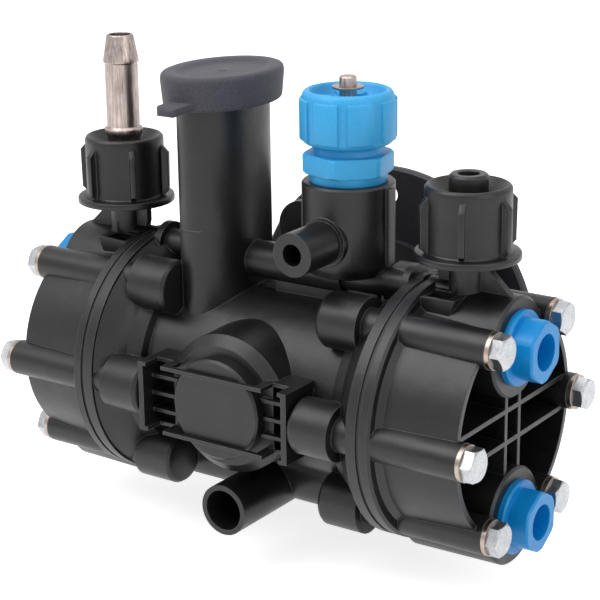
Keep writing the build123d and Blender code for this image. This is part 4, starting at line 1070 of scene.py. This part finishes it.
class PUMP_OT_inner_parts(Operator):
    """Finish the drive, the pistons, the valves and the springs inside"""

    bl_idname = "pump.inner_parts"
    bl_label = "Inner parts"

    def execute(self, context):
        # Ground bearing steel: bright and fine.
        ground = surface_material(
            "ground_bearing_steel", linear_colour("B9BABC"), roughness=0.25, metallic=1.0
        )
        dress(BEARING_NODES + ("crankshaft",), ground)
        # Blued socket screws: dark oil-black steel.
        blued = surface_material("blued_steel", linear_colour("3A3B3E"), roughness=0.4, metallic=1.0)
        dress(SCREW_NODES, blued)
        # Gravity-cast aluminium: grey with a sandy skin.
        cast = surface_material(
            "cast_aluminium",
            linear_colour("9A9C9E"),
            roughness=0.5,
            metallic=1.0,
            grain=0.8 * MM,
            bump=0.03 * MM,
        )
        dress(("yoke", "right_piston", "left_piston", "right_outer_plate", "left_outer_plate"), cast)
        # Natural acetal: milky white valve seats and discs.
        acetal = surface_material(
            "natural_acetal", linear_colour("E4E1D8"), roughness=0.4, ior=1.48, variation=0.04
        )
        dress(SEAT_NODES + DISC_NODES + ("relief_seat", "spring_seat"), acetal)
        # Drawn stainless spring wire.
        wire = surface_material("spring_wire", linear_colour("B0B0AE"), roughness=0.28, metallic=1.0)
        dress(VALVE_SPRINGS + ("relief_spring",), wire)
        return {"FINISHED"}


OPERATORS = (
    PUMP_OT_studio,
    PUMP_OT_mouldings,
    PUMP_OT_wing_nuts,
    PUMP_OT_rubber,
    PUMP_OT_oil_cap,
    PUMP_OT_blue_fittings,
    PUMP_OT_pressure_knob,
    PUMP_OT_pressure_collar,
    PUMP_OT_metal_parts,
    PUMP_OT_inner_parts,
)


class PUMP_PT_panel(Panel):
    """Lists the pump's operators and settings"""

    bl_idname = "PUMP_PT_panel"
    bl_label = "Diaphragm pump"
    bl_space_type = "VIEW_3D"
    bl_region_type = "UI"
    bl_category = "Pump"

    def draw(self, context):
        for operator in OPERATORS:
            self.layout.operator(operator.bl_idname)
        for name in GROUPS:
            group = getattr(context.scene, name)
            box = self.layout.box()
            for field in group.__annotations__:
                box.prop(group, field)


GROUPS = {
    "pump_mouldings": MouldingFinish,
    "pump_fittings": FittingFinish,
    "pump_wing_nuts": WingNutSizes,
    "pump_knob": KnobSizes,
    "pump_oil_cap": OilCapSizes,
    "pump_studio": StudioSettings,
}
CLASSES = (*GROUPS.values(), *OPERATORS, PUMP_PT_panel)


def register():
    for item in CLASSES:
        bpy.utils.register_class(item)
    for name, group in GROUPS.items():
        setattr(bpy.types.Scene, name, PointerProperty(type=group))


def unregister():
    for name in GROUPS:
        delattr(bpy.types.Scene, name)
    for item in reversed(CLASSES):
        bpy.utils.unregister_class(item)


def main():
    register()
    bpy.ops.pump.studio()
    bpy.ops.pump.mouldings()
    bpy.ops.pump.wing_nuts()
    bpy.ops.pump.rubber()
    bpy.ops.pump.oil_cap()
    bpy.ops.pump.blue_fittings()
    bpy.ops.pump.pressure_knob()
    bpy.ops.pump.pressure_collar()
    bpy.ops.pump.metal_parts()
    bpy.ops.pump.inner_parts()


if __name__ == "__main__":
    main()
